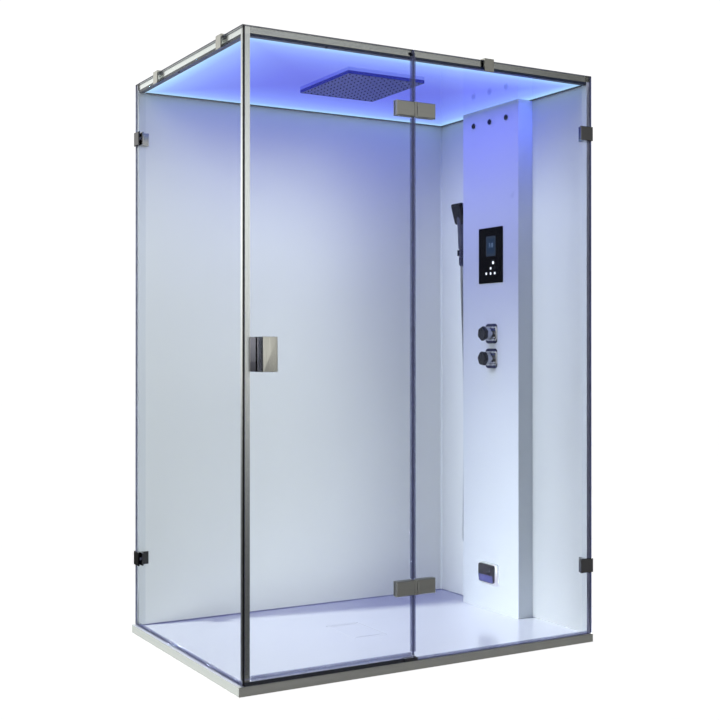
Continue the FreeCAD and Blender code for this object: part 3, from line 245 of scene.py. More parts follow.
def glass_pane(name, axis, edge, front_edge_shade=None, gloss=0.24):
    """A clear pane: see-through with a Fresnel gloss on its faces, and coloured polished edges.
    axis is the pane's thin axis (0 or 1)."""
    m = bpy.data.materials.new(name)
    m.use_nodes = True
    nt = m.node_tree
    nt.nodes.remove(nt.nodes["Principled BSDF"])
    out = nt.nodes["Material Output"]
    tr = nt.nodes.new("ShaderNodeBsdfTransparent")
    tr.inputs["Color"].default_value = (0.975, 0.985, 0.99, 1)
    gl = nt.nodes.new("ShaderNodeBsdfGlossy")
    tc = nt.nodes.new("ShaderNodeTexCoord")
    nz = nt.nodes.new("ShaderNodeTexNoise")
    nz.inputs["Scale"].default_value = 3.0
    nz.inputs["Detail"].default_value = 3
    nt.links.new(tc.outputs["Object"], nz.inputs["Vector"])
    rr = ramp(nt, [(0.3, 0.004), (0.75, 0.03)], nz.outputs["Fac"])
    nt.links.new(rr.outputs["Color"], gl.inputs["Roughness"])
    bp = nt.nodes.new("ShaderNodeBump")
    bp.inputs["Strength"].default_value = 0.02
    bp.inputs["Distance"].default_value = 0.001
    nt.links.new(nz.outputs["Fac"], bp.inputs["Height"])
    nt.links.new(bp.outputs["Normal"], gl.inputs["Normal"])
    lw = nt.nodes.new("ShaderNodeLayerWeight")
    lw.inputs["Blend"].default_value = 0.5
    pw = nt.nodes.new("ShaderNodeMath")
    pw.operation = "POWER"
    pw.inputs[1].default_value = 5.0
    nt.links.new(lw.outputs["Facing"], pw.inputs[0])
    fr = nt.nodes.new("ShaderNodeMath")
    fr.operation = "MULTIPLY_ADD"
    fr.inputs[1].default_value = gloss
    fr.inputs[2].default_value = 0.005
    nt.links.new(pw.outputs[0], fr.inputs[0])
    mix = nt.nodes.new("ShaderNodeMixShader")
    nt.links.new(fr.outputs[0], mix.inputs[0])
    nt.links.new(tr.outputs[0], mix.inputs[1])
    nt.links.new(gl.outputs[0], mix.inputs[2])
    # polished edge
    eb = nt.nodes.new("ShaderNodeBsdfPrincipled")
    nz2 = nt.nodes.new("ShaderNodeTexNoise")
    nz2.inputs["Scale"].default_value = 40.0
    nt.links.new(tc.outputs["Object"], nz2.inputs["Vector"])
    er = ramp(nt, [(0.3, tuple(c * 0.8 for c in edge)), (0.7, tuple(min(1, c * 1.25) for c in edge))], nz2.outputs["Fac"])
    edge_col = er.outputs["Color"]
    if front_edge_shade:
        # the edge at the front corner is painted near black: painted shade for the dark line along the corner
        se = nt.nodes.new("ShaderNodeSeparateXYZ")
        nt.links.new(tc.outputs["Object"], se.inputs[0])
        lf = nt.nodes.new("ShaderNodeMath")
        lf.operation = "LESS_THAN"
        lf.inputs[1].default_value = -0.515
        nt.links.new(se.outputs[1], lf.inputs[0])
        mc = nt.nodes.new("ShaderNodeMix")
        mc.data_type = "RGBA"
        nt.links.new(lf.outputs[0], mc.inputs["Factor"])
        nt.links.new(edge_col, mc.inputs["A"])
        er2 = ramp(nt, [(0.3, tuple(c * 0.8 for c in front_edge_shade)), (0.7, front_edge_shade)], nz2.outputs["Fac"])
        nt.links.new(er2.outputs["Color"], mc.inputs["B"])
        edge_col = mc.outputs["Result"]
    nt.links.new(edge_col, eb.inputs["Base Color"])
    eb.inputs["Roughness"].default_value = 0.15

    sep = nt.nodes.new("ShaderNodeSeparateXYZ")
    nt.links.new(tc.outputs["Normal"], sep.inputs[0])
    ab = nt.nodes.new("ShaderNodeMath")
    ab.operation = "ABSOLUTE"
    nt.links.new(sep.outputs[axis], ab.inputs[0])
    lt = nt.nodes.new("ShaderNodeMath")
    lt.operation = "LESS_THAN"
    lt.inputs[1].default_value = 0.5
    nt.links.new(ab.outputs[0], lt.inputs[0])
    mix2 = nt.nodes.new("ShaderNodeMixShader")
    nt.links.new(lt.outputs[0], mix2.inputs[0])
    nt.links.new(mix.outputs[0], mix2.inputs[1])
    nt.links.new(eb.outputs[0], mix2.inputs[2])
    nt.links.new(mix2.outputs[0], out.inputs["Surface"])
    return m


def seal_material(name, tint, body, solid, bare=False):
    """Clear soft plastic: mostly see-through, with a faint violet body and a soft gloss.
    bare: the thin flat strips along the post and the top rail are nearly invisible."""
    m = material(name, body, 0.28, vary=0.08, rvar=0.12, scale=25, stretch=(1, 1, 0.2), bump=0.15, bump_scale=90)
    nt = m.node_tree
    b = nt.nodes["Principled BSDF"]
    tr = nt.nodes.new("ShaderNodeBsdfTransparent")
    tr.inputs["Color"].default_value = (*tint, 1)
    mixs = nt.nodes.new("ShaderNodeMixShader")
    mixs.inputs[0].default_value = solid
    if bare:
        tcs = nt.nodes.new("ShaderNodeTexCoord")
        ses = nt.nodes.new("ShaderNodeSeparateXYZ")
        nt.links.new(tcs.outputs["Object"], ses.inputs[0])
        gx = nt.nodes.new("ShaderNodeMath")
        gx.operation = "GREATER_THAN"
        gx.inputs[1].default_value = -0.7055
        nt.links.new(ses.outputs[0], gx.inputs[0])
        lz = nt.nodes.new("ShaderNodeMath")
        lz.operation = "LESS_THAN"
        lz.inputs[1].default_value = 2.175
        nt.links.new(ses.outputs[2], lz.inputs[0])
        both = nt.nodes.new("ShaderNodeMath")
        both.operation = "MULTIPLY"
        nt.links.new(gx.outputs[0], both.inputs[0])
        nt.links.new(lz.outputs[0], both.inputs[1])
        sol = ramp(nt, [(0.0, 0.015), (1.0, solid)], both.outputs[0])
        nt.links.new(sol.outputs["Color"], mixs.inputs[0])
        tnt = ramp(nt, [(0.0, (0.985, 0.988, 0.99)), (1.0, tint)], both.outputs[0])
        nt.links.new(tnt.outputs["Color"], tr.inputs["Color"])
    nt.links.new(tr.outputs[0], mixs.inputs[1])
    nt.links.new(b.outputs[0], mixs.inputs[2])
    nt.links.new(mixs.outputs[0], nt.nodes["Material Output"].inputs["Surface"])
    return m


def paint_front_shade(m, shade_colour, limit):
    """Painted shade: faces that look to the front, and lie in front of the limit in Y, get a darker colour that stands
    in for shade.
    """
    nt = m.node_tree
    b = nt.nodes["Principled BSDF"]
    was = b.inputs["Base Color"].links[0].from_socket
    tc = nt.nodes.new("ShaderNodeTexCoord")
    sep = nt.nodes.new("ShaderNodeSeparateXYZ")
    nt.links.new(tc.outputs["Object"], sep.inputs[0])
    lt = nt.nodes.new("ShaderNodeMath")
    lt.operation = "LESS_THAN"
    lt.inputs[1].default_value = limit
    nt.links.new(sep.outputs[1], lt.inputs[0])
    sn = nt.nodes.new("ShaderNodeSeparateXYZ")
    nt.links.new(tc.outputs["Normal"], sn.inputs[0])
    ln = nt.nodes.new("ShaderNodeMath")
    ln.operation = "LESS_THAN"
    ln.inputs[1].default_value = -0.5
    nt.links.new(sn.outputs[1], ln.inputs[0])
    both = nt.nodes.new("ShaderNodeMath")
    both.operation = "MULTIPLY"
    nt.links.new(lt.outputs[0], both.inputs[0])
    nt.links.new(ln.outputs[0], both.inputs[1])
    nz = nt.nodes.new("ShaderNodeTexNoise")
    nz.inputs["Scale"].default_value = 18
    nt.links.new(tc.outputs["Object"], nz.inputs["Vector"])
    dark = ramp(nt, [(0.3, tuple(c * 0.85 for c in shade_colour)), (0.7, shade_colour)], nz.outputs["Fac"])
    mc = nt.nodes.new("ShaderNodeMix")
    mc.data_type = "RGBA"
    nt.links.new(both.outputs[0], mc.inputs["Factor"])
    nt.links.new(was, mc.inputs["A"])
    nt.links.new(dark.outputs["Color"], mc.inputs["B"])
    nt.links.new(mc.outputs["Result"], b.inputs["Base Color"])


def paint_side_shade(m, shade_colour, limit):
    """Painted shade: the part of the surface to the left of the limit, in X, is painted darker."""
    nt = m.node_tree
    b = nt.nodes["Principled BSDF"]
    was = b.inputs["Base Color"].links[0].from_socket
    tc = nt.nodes.new("ShaderNodeTexCoord")
    so = nt.nodes.new("ShaderNodeSeparateXYZ")
    nt.links.new(tc.outputs["Object"], so.inputs[0])
    lx = nt.nodes.new("ShaderNodeMath")
    lx.operation = "LESS_THAN"
    lx.inputs[1].default_value = limit
    nt.links.new(so.outputs[0], lx.inputs[0])
    nz = nt.nodes.new("ShaderNodeTexNoise")
    nz.inputs["Scale"].default_value = 22
    nt.links.new(tc.outputs["Object"], nz.inputs["Vector"])
    dark = ramp(nt, [(0.3, tuple(c * 0.85 for c in shade_colour)), (0.7, shade_colour)], nz.outputs["Fac"])
    mc = nt.nodes.new("ShaderNodeMix")
    mc.data_type = "RGBA"
    nt.links.new(lx.outputs[0], mc.inputs["Factor"])
    nt.links.new(was, mc.inputs["A"])
    nt.links.new(dark.outputs["Color"], mc.inputs["B"])
    nt.links.new(mc.outputs["Result"], b.inputs["Base Color"])


def assign(node, mat):
    me = nodes[node].data
    if me.materials:
        for i in range(len(me.materials)):
            me.materials[i] = mat
    else:
        me.materials.append(mat)


# ------------------------------------------------------------------ materials
M = {}
M["acrylic"] = material("acrylic", (0.44, 0.47, 0.545), 0.16, vary=0.015, rvar=0.05, scale=3, bump=0.03, bump_scale=14, coat=0.3)
M["wall"] = material("wall_panel", (0.78, 0.79, 0.80), 0.34, vary=0.015, rvar=0.06, scale=2, bump=0.02, bump_scale=10)
M["column"] = material("column_coat", (0.66, 0.70, 0.75), 0.30, vary=0.012, rvar=0.06, scale=3, bump=0.02, bump_scale=12)
M["rail"] = material("polished_rail", (0.62, 0.62, 0.60), 0.20, metal=1, vary=0.04, rvar=0.07, scale=30, stretch=(0.05, 0.05, 1), bump=0.03, bump_scale=200)
# painted light: the left rail is a brighter copy of the same polished rail metal
M["rail_left"] = material("polished_rail_left_painted_light", (0.92, 0.94, 0.91), 0.20, metal=1, vary=0.04, rvar=0.07, scale=30, stretch=(1, 0.05, 1), bump=0.03, bump_scale=200)
M["post"] = material("polished_post", (0.78, 0.78, 0.76), 0.18, metal=1, vary=0.04, rvar=0.07, scale=30, stretch=(1, 1, 0.05), bump=0.03, bump_scale=200)
M["channel"] = material("wall_channel", (0.70, 0.72, 0.75), 0.40, vary=0.03, rvar=0.07, scale=30, stretch=(1, 1, 0.05), bump=0.03, bump_scale=200)
# painted shade: the channel's front-facing faces at the front end are painted darker and violet
paint_front_shade(M["channel"], (0.28, 0.28, 0.44), -0.47)
M["apron"] = material("apron_metal", (0.82, 0.82, 0.76), 0.42, metal=0.85, vary=0.06, rvar=0.08, scale=40, stretch=(0.03, 1, 1), bump=0.06, bump_scale=240)
M["dark_chrome"] = material("dark_chrome", (0.20, 0.20, 0.23), 0.10, metal=1, vary=0.05, rvar=0.06, scale=20, bump=0.02, bump_scale=150)
M["satin"] = material("satin_hinge", (0.45, 0.45, 0.41), 0.32, metal=0.55, vary=0.06, rvar=0.1, scale=40, stretch=(0.1, 1, 1), bump=0.05, bump_scale=300)
M["chrome"] = material("chrome", (0.80, 0.81, 0.84), 0.06, metal=1, vary=0.02, rvar=0.04, scale=20, bump=0.01, bump_scale=150)
M["dark_trim"] = material("dark_trim", (0.02, 0.03, 0.07), 0.25, vary=0.1, rvar=0.1, scale=30, bump=0.04, bump_scale=200)
M["seal"] = seal_material("clear_seal", (0.84, 0.85, 0.92), (0.34, 0.36, 0.55), 0.25)
M["door_seal"] = seal_material("clear_door_seal", (0.84, 0.85, 0.92), (0.34, 0.36, 0.55), 0.25, True)
M["slate"] = material("slate_metal", (0.040, 0.042, 0.052), 0.22, metal=0.6, vary=0.08, rvar=0.1, scale=25, bump=0.03, bump_scale=220)
M["mirror_dark"] = material("dark_mirror", (0.19, 0.19, 0.21), 0.05, metal=1, vary=0.04, rvar=0.04, scale=12, bump=0.02, bump_scale=60)
M["satin_face"] = material("satin_face", (0.68, 0.68, 0.62), 0.30, metal=1, vary=0.03, rvar=0.10, scale=60, stretch=(1, 1, 0.04), bump=0.05, bump_scale=300)
M["rain_steel"] = material("rain_steel", (0.10, 0.11, 0.38), 0.24, metal=0.9, vary=0.08, rvar=0.1, scale=30, bump=0.03, bump_scale=200)
M["rubber"] = material("black_rubber", (0.012, 0.012, 0.016), 0.45, vary=0.2, rvar=0.15, scale=80, bump=0.1, bump_scale=600)
M["corner_metal"] = material("cast_corner", (0.30, 0.30, 0.27), 0.28, metal=1, vary=0.06, rvar=0.1, scale=40, bump=0.06, bump_scale=260)
M["clip_metal"] = material("clip_metal", (0.50, 0.50, 0.46), 0.22, metal=1, vary=0.05, rvar=0.08, scale=40, bump=0.03, bump_scale=260)
M["smoke_chrome"] = material("smoke_chrome", (0.42, 0.43, 0.48), 0.06, metal=1, vary=0.04, rvar=0.05, scale=20, bump=0.01, bump_scale=120)
M["white_plastic"] = material("white_plastic", (0.82, 0.83, 0.84), 0.4, vary=0.02, rvar=0.1, scale=10, bump=0.05, bump_scale=200)
M["black_plastic"] = material("black_plastic", (0.010, 0.010, 0.014), 0.18, vary=0.15, rvar=0.1, scale=30, bump=0.06, bump_scale=300, spec=0.25)
M["black_glass"] = material("black_glass", (0.006, 0.006, 0.008), 0.05, vary=0.2, rvar=0.03, scale=10, bump=0.01, bump_scale=20, spec=0.015)
M["grip"] = material("grip_metal", (0.125, 0.13, 0.19), 0.30, metal=0.5, vary=0.08, rvar=0.1, scale=25, bump=0.03, bump_scale=220)
M["navy_metal"] = material("navy_metal", (0.05, 0.055, 0.12), 0.14, metal=0.8, vary=0.08, rvar=0.06, scale=25, bump=0.02, bump_scale=220)
# painted reflection: violet for the steam cover's lower field, standing in for the lit floor it mirrors
M["violet_painted_reflection"] = material("violet_painted_reflection", (0.12, 0.135, 0.34), 0.22, metal=0.35, vary=0.10, rvar=0.06, scale=30, bump=0.03, bump_scale=120)
M["plate"] = material("plate_metal", (0.55, 0.56, 0.62), 0.10, metal=1, vary=0.04, rvar=0.05, scale=20, bump=0.01, bump_scale=150)
M["threshold"] = material("threshold_metal", (0.10, 0.105, 0.125), 0.22, metal=0.7, vary=0.08, rvar=0.1, scale=25, bump=0.03, bump_scale=220)
M["handle_dark"] = material("handle_dark", (0.105, 0.10, 0.125), 0.06, metal=1, vary=0.10, rvar=0.04, scale=14, bump=0.02, bump_scale=80)
# painted shade: the clips' outer side, left of the left glass, is painted near black
M["clip_with_painted_shade"] = material("clip_with_painted_shade", (0.30, 0.30, 0.31), 0.08, metal=1, vary=0.05, rvar=0.05, scale=14, bump=0.02, bump_scale=80)
paint_side_shade(M["clip_with_painted_shade"], (0.028, 0.028, 0.032), -0.7305)
M["brass"] = material("brass", (0.62, 0.48, 0.22), 0.3, metal=1, vary=0.1, rvar=0.12, scale=30, bump=0.1, bump_scale=160)
M["copper"] = material("copper", (0.65, 0.33, 0.20), 0.3, metal=1, vary=0.1, rvar=0.12, scale=30, bump=0.06, bump_scale=160)
M["left_glass"] = glass_pane("left_glass_clear", 0, (0.30, 0.31, 0.42), (0.012, 0.012, 0.014), 0.10)
M["front_glass"] = glass_pane("front_glass_clear", 1, (0.18, 0.20, 0.38))


def ceiling_material():
    m = bpy.data.materials.new("ceiling_glow")
    m.use_nodes = True
    nt = m.node_tree
    b = nt.nodes["Principled BSDF"]
    lo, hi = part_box("ceiling_panel")
    tc = nt.nodes.new("ShaderNodeTexCoord")
    sep = nt.nodes.new("ShaderNodeSeparateXYZ")
    nt.links.new(tc.outputs["Object"], sep.inputs[0])

    def op(kind, a, bb=None):
        n = nt.nodes.new("ShaderNodeMath")
        n.operation = kind
        for i, v in enumerate((a, bb)):
            if v is None:
                continue
            if isinstance(v, (int, float)):
                n.inputs[i].default_value = v
            else:
                nt.links.new(v, n.inputs[i])
        return n.outputs[0]
    ds = [op("SUBTRACT", sep.outputs[0], lo.x), op("SUBTRACT", hi.x, sep.outputs[0]),
          op("SUBTRACT", sep.outputs[1], lo.y), op("SUBTRACT", hi.y, sep.outputs[1])]
    dist = op("MINIMUM", op("MINIMUM", ds[0], ds[1]), op("MINIMUM", ds[2], ds[3]))
    nz = nt.nodes.new("ShaderNodeTexNoise")
    nz.inputs["Scale"].default_value = 2.5
    nt.links.new(tc.outputs["Object"], nz.inputs["Vector"])
    dist = op("ADD", dist, op("MULTIPLY", op("SUBTRACT", nz.outputs["Fac"], 0.5), 0.03))
    col = ramp(nt, [(0.0, hexc("BEE8FF")), (0.04, hexc("A6D4FF")), (0.13, hexc("90AEFF")), (0.34, hexc("7C90FF")), (0.7, hexc("6A74F8")),
                    (1.0, hexc("646CF2"))], op("DIVIDE", dist, 0.5))
    st = ramp(nt, [(0.0, 1.03), (0.1, 0.98), (0.5, 0.83), (1.0, 0.75)], op("DIVIDE", dist, 0.5))
    nt.links.new(col.outputs["Color"], b.inputs["Emission Color"])
    nt.links.new(op("MULTIPLY", st.outputs["Color"], 0.93), b.inputs["Emission Strength"])
    nt.links.new(ramp(nt, [(0.3, (0.02, 0.02, 0.06)), (0.7, (0.03, 0.03, 0.08))], nz.outputs["Fac"]).outputs["Color"], b.inputs["Base Color"])
    nt.links.new(ramp(nt, [(0.3, 0.05), (0.7, 0.09)], nz.outputs["Fac"]).outputs["Color"], b.inputs["Roughness"])
    return m


M["ceiling"] = ceiling_material()


def led_material():
    m = material("led_tape", (0.5, 0.7, 1.0), 0.4, scale=30)
    b = m.node_tree.nodes["Principled BSDF"]
    b.inputs["Emission Color"].default_value = (0.35, 0.6, 1.0, 1)
    b.inputs["Emission Strength"].default_value = 4
    return m


M["led"] = led_material()

LOOK = {
    "shower_tray": "acrylic", "tray_apron": "apron", "waste_flange": "chrome", "drain_cover": "acrylic",
    "back_wall_panel": "wall", "right_wall_panel": "wall", "wall_profiles": "channel", "corner_post": "post",
    "top_rail_front": "rail", "top_rail_left": "rail_left", "top_rails_rear": "rail", "rail_corner_blocks": "corner_metal",
    "left_glass": "left_glass", "fixed_glass": "front_glass", "door_glass": "front_glass",
    "glass_seals": "seal", "door_seals": "door_seal", "door_threshold": "threshold", "threshold_block": "mirror_dark",
    "rail_clips": "clip_metal", "corner_clips": "clip_with_painted_shade", "frame_screws": "dark_chrome", "door_screws": "satin",
    "hinge_fixed_leaves": "satin", "hinge_door_leaves": "satin", "hinge_pins": "satin",
    "ceiling_frame": "dark_trim", "ceiling_panel": "ceiling", "led_strips": "led", "led_driver": "white_plastic",
    "ceiling_cover": "white_plastic", "rain_head_face": "rain_steel", "rain_head_body": "rain_steel",
    "column_shell": "column", "column_brackets": "satin", "control_glass": "black_glass",
    "control_housing": "black_plastic", "valve_plates": "plate", "mixer_valve": "brass", "diverter_valve": "brass",
    "riser_pipe": "copper", "hose_supply_pipe": "copper", "jet_housings": "slate", "jet_nozzle_left": "chrome",
    "jet_nozzle_middle": "chrome", "jet_nozzle_right": "chrome", "mixer_knob": "dark_chrome",
    "diverter_knob": "dark_chrome", "steam_generator": "satin", "steam_pipe": "copper",
    "steam_outlet_body": "white_plastic", "steam_outlet_cover": "dark_chrome", "handset_holder": "navy_metal",
    "handset": "black_plastic", "hose_nut": "navy_metal", "hose_elbow": "chrome", "shower_hose": "chrome",
    "handle_outer": "dark_chrome", "handle_inner": "dark_chrome",
}
for n, k in LOOK.items():
    assign(n, M[k])

# small rounded edges on the made parts, so that they catch the light
EDGES = {
    "shower_tray": 1.2, "tray_apron": 0.3, "back_wall_panel": 0.5, "right_wall_panel": 0.5, "corner_post": 0.7,
    "top_rail_front": 0.7, "top_rail_left": 0.7, "top_rails_rear": 0.7, "rail_corner_blocks": 0.8, "column_shell": 1.2,
    "rail_clips": 0.5, "corner_clips": 0.4, "hinge_fixed_leaves": 0.5, "hinge_door_leaves": 0.5, "threshold_block": 0.5,
    "control_glass": 0.3, "steam_outlet_body": 0.6, "drain_cover": 0.4, "wall_profiles": 0.3, "ceiling_frame": 0.3,
    "door_threshold": 0.4, "ceiling_cover": 0.5, "steam_generator": 1.0,
}
for n, w in EDGES.items():
    bevel_mod(nodes[n], w / 1000, 2)

# ------------------------------------------------------------------ valve plates and knobs
bm = bmesh.new()
for cz in (1203, 1098):
    spec = [(658.3, 84, 84, 18), (657.2, 84, 84, 18)]
    for i in range(10):
        t = math.radians(8 + 8.2 * i)
        a = 42 * math.cos(t * 0.62)
        spec.append((657.2 - 6.6 * math.sin(t), 2 * a, 2 * a, 18 + (a < 36) * 4))
    spec += [(650.7, 53, 53, 26.4), (651.6, 50.6, 50.6, 25.3), (656.0, 50.4, 50.4, 25.2)]
    along_x(bm, 13.5, cz, spec, 8)
# painted reflection: the top and bottom bands of the polished plates are navy, for the dark blue they mirror
for f in bm.faces:
    z = f.calc_center_median().z * 1000
    if min(abs(z - 1203), abs(z - 1098)) > 30:
        f.material_index = 1
piece("valve_plates_polished", bm, [M["plate"], M["navy_metal"]], "cabin", ["valve_plates"])

def six(radius, corner, turn_deg, n=5):
    """Outline of a six-sided grip with rounded corners, in mm."""
    out = []
    inner = radius - corner / math.cos(math.radians(30))
    for k in range(6):
        a0 = math.radians(60 * k + turn_deg)
        for i in range(n + 1):
            a = a0 + math.radians(-30 + 60 * i / n)
            out.append((inner * math.cos(a0) + corner * math.cos(a), inner * math.sin(a0) + corner * math.sin(a)))
    return out


for name, cz, turned_by in (("mixer", 1203, 38), ("diverter", 1098, 8)):
    bm = bmesh.new()
    along_x(bm, 13.5, cz, [(650.2, 49.6, 49.6, 24.8), (647.0, 50.0, 50.0, 25.0), (640.0, 49.0, 49.0, 24.5), (632.0, 48.0, 48.0, 24),
                           (625.0, 48.0, 48.0, 24), (621.4, 49.5, 49.5, 24.7), (620.6, 48.5, 48.5, 24.2)], 8)
    turned(bm, "x", (0, 13.5, cz), [(650.2, 5.0), (700.0, 5.0)], 16)
    piece(name + "_knob_body", bm, M["smoke_chrome"], name + "_grip", [name + "_knob"])
    bm = bmesh.new()
    loft(bm, [[(x, 13.5 + a, cz + b) for a, b in six(r, c, turned_by)] for x, r, c in (
        (620.3, 29.5, 9), (620.0, 31.4, 9.5), (618.4, 32.6, 10), (610.4, 32.6, 10), (608.6, 31.9, 9.6), (605.4, 28.6, 8.6),
        (604.6, 26.6, 8.0), (604.9, 24.6, 7.6), (605.3, 18.0, 6.0), (605.5, 8.0, 3.0), (605.52, 2.5, 1.0))])
    # a fine pointer bar on the rim
    slab(bm, 604.3, 605.3, 12.6, 14.4, cz + 13, cz + 21)
    piece(name + "_knob_cap", bm, M["slate"], name + "_grip")

# ------------------------------------------------------------------ control panel
def glow(name, inner, outer, strength, rough=0.2):
    """A lit mark behind dark glass: a little uneven in brightness."""
    m = material(name, outer, rough, vary=0.1, scale=60)
    nt = m.node_tree
    b = nt.nodes["Principled BSDF"]
    tc = nt.nodes.new("ShaderNodeTexCoord")
    nz = nt.nodes.new("ShaderNodeTexNoise")
    nz.inputs["Scale"].default_value = 45
    nt.links.new(tc.outputs["Object"], nz.inputs["Vector"])
    r = ramp(nt, [(0.3, outer), (0.7, inner)], nz.outputs["Fac"])
    nt.links.new(r.outputs["Color"], b.inputs["Emission Color"])
    b.inputs["Emission Strength"].default_value = strength
    return m


def display_material():
    """A dim blue-grey display: brighter towards its rim, with faint level bands."""
    m = material("display", (0.01, 0.015, 0.03), 0.12, scale=60, spec=0.04)
    nt = m.node_tree
    b = nt.nodes["Principled BSDF"]
    tc = nt.nodes.new("ShaderNodeTexCoord")
    sp_ = nt.nodes.new("ShaderNodeSeparateXYZ")
    nt.links.new(tc.outputs["Object"], sp_.inputs[0])

    def mth(kind, a, bb):
        n = nt.nodes.new("ShaderNodeMath")
        n.operation = kind
        for i, v in enumerate((a, bb)):
            if isinstance(v, (int, float)):
                n.inputs[i].default_value = v
            elif v is not None:
                nt.links.new(v, n.inputs[i])
        return n.outputs[0]
    dy = mth("ABSOLUTE", mth("SUBTRACT", sp_.outputs[1], 0.0155), None)
    dz = mth("ABSOLUTE", mth("SUBTRACT", sp_.outputs[2], 1.574), None)
    rim = mth("MAXIMUM", mth("DIVIDE", dy, 0.034), mth("DIVIDE", dz, 0.043))
    wv = nt.nodes.new("ShaderNodeTexWave")
    wv.bands_direction = "Z"
    wv.inputs["Scale"].default_value = 260
    nt.links.new(tc.outputs["Object"], wv.inputs["Vector"])
    base = ramp(nt, [(0.0, (0.030, 0.072, 0.160)), (0.72, (0.036, 0.078, 0.155)), (0.80, (0.062, 0.095, 0.150)), (1.0, (0.070, 0.100, 0.145))], rim)
    mixn = nt.nodes.new("ShaderNodeMix")
    mixn.data_type = "RGBA"
    mixn.blend_type = "MULTIPLY"
    mixn.inputs["Factor"].default_value = 0.25
    nt.links.new(base.outputs["Color"], mixn.inputs["A"])
    nt.links.new(wv.outputs["Color"], mixn.inputs["B"])
    nt.links.new(mixn.outputs["Result"], b.inputs["Emission Color"])
    b.inputs["Emission Strength"].default_value = 0.42
    return m


bm = bmesh.new()
along_x(bm, 15.5, 1574, [(655.6, 67, 85, 1.5), (655.25, 67, 85, 1.5), (655.15, 66, 84, 1.2)], 3)
piece("control_display", bm, display_material(), "cabin")

# a plain two-figure reading made of seven-bar figures
BARS = {"a": (0, 8, 1), "b": (4.4, 4, 0), "c": (4.4, -4, 0), "d": (0, -8, 1), "e": (-4.4, -4, 0), "f": (-4.4, 4, 0), "g": (0, 0, 1)}
bm = bmesh.new()
for cy, figure in ((25.5, "abcdg"), (5.5, "abcdefg")):
    for k in figure:
        # the panel is seen from -X, where +Y lies on the left
        dy, dz, flat = BARS[k]
        w, h = (7.0, 1.9) if flat else (1.9, 6.6)
        along_x(bm, cy - dy, 1578 + dz, [(655.16, w, h, 0.9), (655.05, w - 0.5, h - 0.5, 0.7)], 3)
piece("display_figures", bm, glow("figure_glow", (0.22, 0.33, 0.50), (0.15, 0.24, 0.40), 0.6), "cabin")

bm = bmesh.new()
for y, z, r in ((-0.5, 1503, 6.4), (16.5, 1480, 5.2), (47.5, 1459, 5.2), (16.5, 1458, 5.2), (-12.5, 1458, 5.2)):
    turned(bm, "x", (0, y, z), [(655.5, r), (655.28, r), (655.10, r * 0.93), (655.02, r * 0.7), (655.0, r * 0.2)], 28)
piece("touch_marks", bm, glow("mark_glow", (1.0, 1.0, 1.0), (0.92, 0.94, 1.0), 1.1), "cabin")
bm = bmesh.new()
turned(bm, "x", (0, -12.5, 1482), [(655.5, 5.0), (655.2, 5.0), (655.2, 4.2), (655.5, 4.2)], 28, False, False)
for y, z, r in ((-0.5, 1503, 8.6), (16.5, 1480, 7.2), (47.5, 1459, 7.2), (16.5, 1458, 7.2), (-12.5, 1458, 7.2)):
    turned(bm, "x", (0, y, z), [(655.5, r), (655.3, r), (655.3, r - 0.5), (655.5, r - 0.5)], 28, False, False)
piece("touch_rings", bm, glow("ring_glow", (0.05, 0.055, 0.07), (0.035, 0.04, 0.05), 0.8), "cabin")

# ------------------------------------------------------------------ rain head nozzles
bm = bmesh.new()
for i in range(12):
    for j in range(14):
        turned(bm, "z", (-173.5 + 304 * i / 11, -237 + 359 * j / 13, 0), [(2155.4, 1.75), (2154.6, 3.1), (2154.0, 2.9), (2152.9, 1.7), (2152.7, 0.9), (2153.4, 0.7)], 10)
piece("rain_nozzles", bm, M["rubber"], "cabin")
# a pressed rim round the face
bm = bmesh.new()
x0, x1, y0, y1 = -188.5, 145.5, -252.0, 137.0
loft(bm, [[(x0 + d, y0 + d, z), (x1 - d, y0 + d, z), (x1 - d, y1 - d, z), (x0 + d, y1 - d, z)]
          for d, z in ((0.1, 2156.9), (0.1, 2155.0), (0.8, 2154.2), (3.6, 2154.2), (4.6, 2155.1))], False, False)
piece("rain_head_rim", bm, M["rain_steel"], "cabin")

# ------------------------------------------------------------------ jets
for name, y in (("jet_left", 143.0), ("jet_middle", 27.0), ("jet_right", -89.0)):
    bm = bmesh.new()
    turned(bm, "x", (0, y, 2103), [(655.4, 3.6), (654.4, 3.9), (653.9, 7.4), (653.5, 8.6), (652.9, 8.9), (652.3, 8.5), (652.0, 7.6),
                                   (652.3, 6.6), (652.5, 2.4), (653.2, 1.6), (655.0, 1.4)], 32)
    for k in range(8):
        a = math.radians(45 * k + 15)
        turned(bm, "x", (0, y + 4.5 * math.cos(a), 2103 + 4.5 * math.sin(a)), [(652.6, 0.8), (651.9, 0.6), (651.8, 0.25)], 8)
    piece(name + "_face", bm, M["navy_metal" if name == "jet_middle" else "rubber"], name)
    bm = bmesh.new()
    turned(bm, "x", (0, y, 2103), [(656.6, 12.0), (656.1, 12.6), (655.5, 12.4), (655.3, 11.2), (655.6, 9.8), (656.4, 9.4)], 40, False, False)
    piece(name + "_ring", bm, M["smoke_chrome"], "cabin")

# ------------------------------------------------------------------ steam outlet cover
bm = bmesh.new()
cy, cz = 38.5, 185.5


def cover_ring(w, h, r):
    """The cover's outline with two more points where the crease meets its sides."""
    o = rr(w, h, r, 6)
    return o[:7] + [(w / 2, -6.0)] + o[7:21] + [(-w / 2, -6.0)] + o[21:]


def cover_x(b, inset):
    """The front leans back below the middle."""
    return (642.5 if b > -6.01 else 642.5 + (-6 - b) * 0.11) + inset


